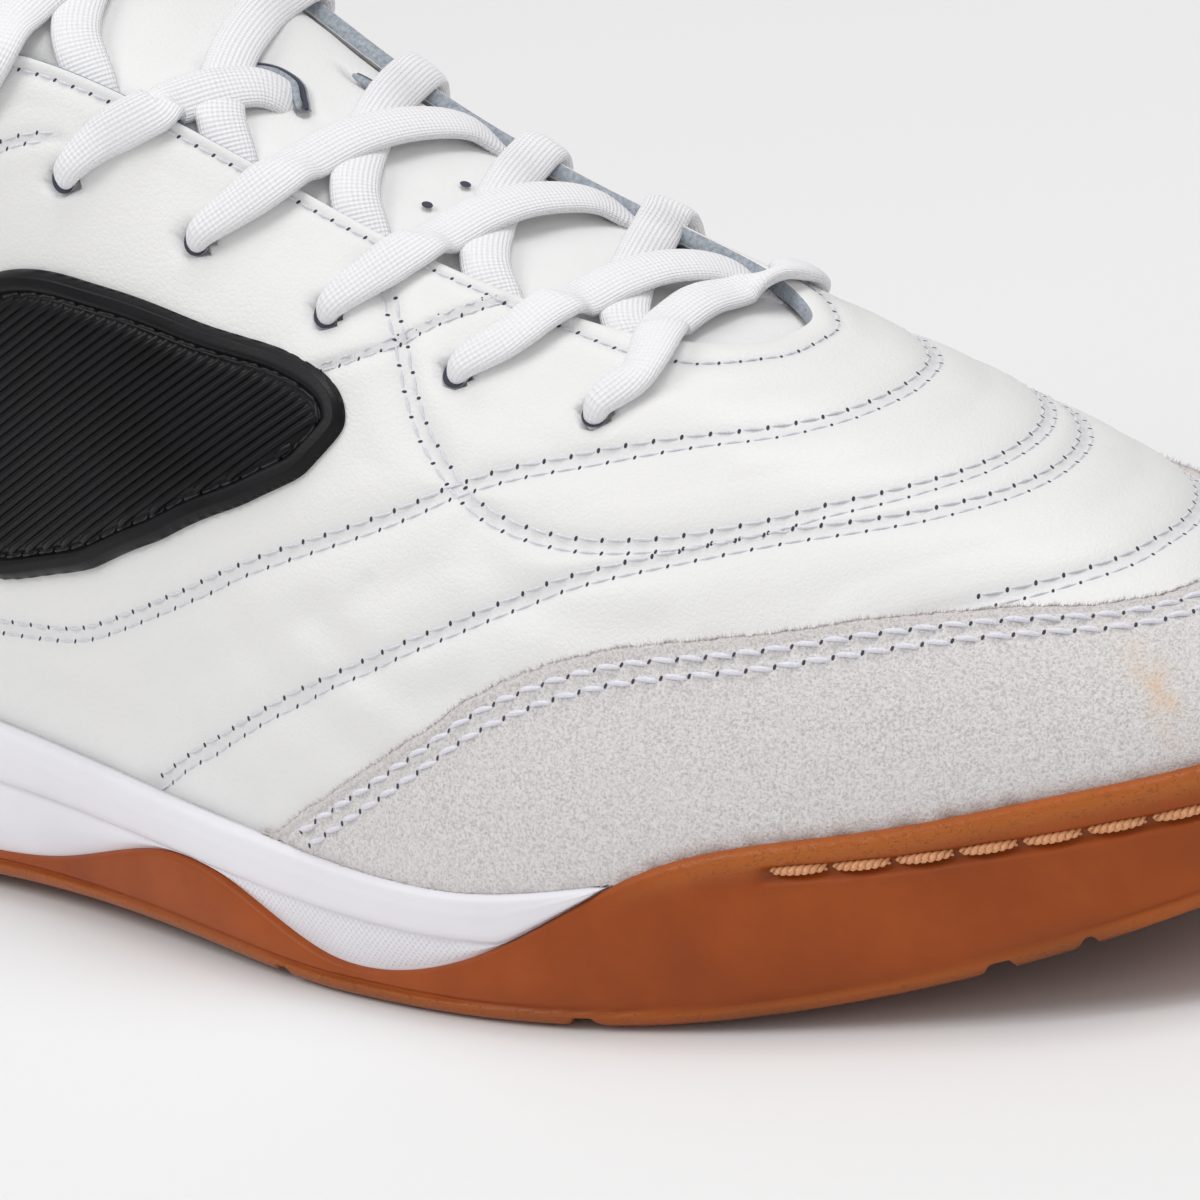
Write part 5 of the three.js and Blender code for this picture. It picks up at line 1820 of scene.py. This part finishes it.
def make_upper_stitches():
    leather = surface_of("upper_leather")
    threads, holes = Joined(), Joined()
    for curve in ROW_CURVES:
        keep = curve[:, 1] > guard_top(curve[:, 0]) + 0.015
        spans = np.split(np.arange(len(curve)), np.nonzero(np.diff(keep.astype(int)))[0] + 1)
        for span in spans:
            if not keep[span[0]] or len(span) < 8:
                continue
            for way, stitch in ((ROW_GAP / 2, FIRST_ROW_STITCH), (-ROW_GAP / 2, SECOND_ROW_STITCH)):
                sew(leather, beside(curve[span], way), threads, holes, stitch)
    for curve in SINGLE_CURVES:
        for way in SEAM_SIDES:
            sew(leather, beside(curve, way), threads, holes, SEAM_STITCH)
    for curve in (THROAT_CURVE, COLLAR_CURVE):
        sew(leather, on_upper(curve), threads, holes, EDGE_STITCH)
    threads.piece("upper_stitches", "leather", THREAD)
    holes.piece("upper_needle_holes", "leather", HOLE_SHADE)


def make_guard_stitches():
    suede = surface_of("toe_guard_suede")
    threads, holes = Joined(), Joined()
    u = even_stations(500, first=GUARD_SEWN_FROM, last=STATIONS - GUARD_SEWN_FROM)
    edge = guard_top(u)
    lower = np.linspace(0, 0.12, 40)
    run = run_along(upper_point(u[None], edge[None] - lower[:, None]))
    for number, offset in enumerate(GUARD_STITCHES):
        v = edge - read_columns(np.full(len(u), offset), run, lower)
        sew(suede, off_upper(u, v, 1.3), threads, holes, GUARD_STITCH, 0.5 * number)
    threads.piece("toe_guard_stitches", "suede", GUARD_THREAD)
    holes.piece("toe_guard_needle_holes", "suede", HOLE_SHADE)


def make_panel_stitches(name, line, inner):
    panel = surface_of(name)
    threads = Joined()
    u = station_reader(inner)(line[:, 0])
    sew(panel, off_upper(u, line[:, 1], 1.0), threads, None, PANEL_STITCH)
    threads.piece(name + "_stitches", "black_panel", BLACK_THREAD)


def make_fuzz():
    """Short stray fibres along the suede guard's cut edges."""
    rng = np.random.default_rng(FUZZ_SEED)
    grid = points_of("toe_guard_suede").reshape(GUARD_ROWS + 1, -1, 3)
    fibres = Joined()
    for row, count, way in FUZZ_ROWS:
        line = grid[row]
        spot = rng.uniform(0, len(line) - 1.001, count)
        whole = spot.astype(int)
        base = line[whole] + (line[whole + 1] - line[whole]) * (spot - whole)[:, None]
        along = unit(line[whole + 1] - line[whole])
        out = unit(base - np.array(FUZZ_CENTRE))
        up = np.array([0, 0, way])
        tip = base + (out * rng.uniform(0.1, 0.7, (count, 1)) + up * rng.uniform(0.1, 0.8, (count, 1))
                      + along * rng.normal(0, 0.35, (count, 1))) * rng.uniform(0.35, 1.0, (count, 1))
        side = unit(np.cross(tip - base, rng.normal(size=(count, 3)))) * 0.05
        points = np.stack([base - side, base + side, tip], 1).reshape(-1, 3)
        fibres.add(points, np.arange(len(points)).reshape(-1, 3).tolist())
    fibres.piece("toe_guard_fuzz", "suede", FUZZ)


def make_slits():
    """Grey lined lips of the tongue's slits, with painted shade in their openings beside them."""
    lips, dark = Joined(), Joined()
    for pairs in SLITS:
        curve = smooth_curve(pairs, 40)
        face = arch_face(curve[:, 0], curve[:, 1])
        path = arch_point(curve[:, 0], curve[:, 1]) + face * 0.15
        side = unit(np.cross(np.gradient(path, axis=0), face))
        for across, up, width, height, sides in SLIT_LIPS:
            lips.add(*tube(path + side * across + face * up, face, width, height, sides))
        across, width, height = SLIT_OPENING
        dark.add(*tube(path + side * across, face, width, height))
    lips.piece("tongue_slit_lips", "leather", CUT_EDGE)
    dark.piece("tongue_slit_openings", "leather", HOLE_SHADE)


def make_gum_stitches():
    """Twisted two-ply threads that lie in the groove of the toe wrap."""
    threads = Joined()
    u = even_stations(900, first=GROOVE_START + 0.05, last=STATIONS - GROOVE_START - 0.05)
    line = dense_line(sole_point(u, -0.1, groove_height(u) + 0.25), 0.1)
    run = np.arange(len(line)) * 0.1
    room = run[-1] - 2 * GUM_MARGIN
    length = GUM_STITCH * GUM_LENGTH
    for start in np.arange(GUM_MARGIN, run[-1] - GUM_STITCH, room / int(room / GUM_STITCH)):
        at = np.linspace(start, start + length, 34)
        path = read_line(line, run, at)
        tangent = unit(np.gradient(path, axis=0))
        out = unit(np.cross(tangent, (0, 0, 1.0)))
        up = np.cross(out, tangent)
        sink = 0.9 * (1 - np.sin(np.linspace(0.1, math.pi - 0.1, 34)) ** 0.35)
        for ply in (0, math.pi):
            angle = ply + np.linspace(0, length, 34) * 2 * math.pi / GUM_TWIST
            centre_line = path + (out * np.cos(angle)[:, None] + up * np.sin(angle)[:, None]) * 0.27
            centre_line -= out * sink[:, None]
            threads.add(*tube(centre_line, out, 0.8, 0.8, sides=9))
    threads.piece("outsole_threads", "gum_rubber", GUM_THREAD)


def make_holes():
    """Discs of painted shade inside the punched eyelets and the small holes in the tongue."""
    dark = Joined()
    for u, share in EYELET_PLACES:
        normal = upper_normal(u, share)
        along = unit(upper_point(u, 1.0) - upper_point(u, share))
        centre = upper_point(u, share) - normal * 0.08
        long_half, short_half = (EYELET_RADIUS * share for share in EYELET_DISC)
        dark.add(*disc(centre, normal, along, long_half, short_half, sides=28))
    dark.piece("eyelet_holes", "leather", HOLE_SHADE)
    dark = Joined()
    for u, across in PERFORATION_PAIRS:
        face = arch_face(u, across)
        centre = arch_point(u, across) + face * 0.35
        dark.add(*disc(centre, face, unit(np.cross(face, (0, 1.0, 0))), *PERFORATION, sides=20))
    dark.piece("tongue_holes", "leather", HOLE_SHADE)


make_upper()
make_lining()
make_outsole()
make_midsole()
make_insole()
make_guard()
OUTER_LINE = make_panel("side_panel_outer_face", "side_panel_outer", False)
INNER_LINE = make_panel("side_panel_inner_face", "side_panel_inner", True)
make_tongue()
make_laces()
make_upper_stitches()
make_guard_stitches()
make_panel_stitches("side_panel_outer_face", OUTER_LINE, False)
make_panel_stitches("side_panel_inner_face", INNER_LINE, True)
make_gum_stitches()
make_holes()
make_slits()
make_fuzz()

SIZES = {"cad": CAD_BOX, "visual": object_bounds()}
plain = {key: [[float(k) for k in row] for row in value] for key, value in SIZES.items()}
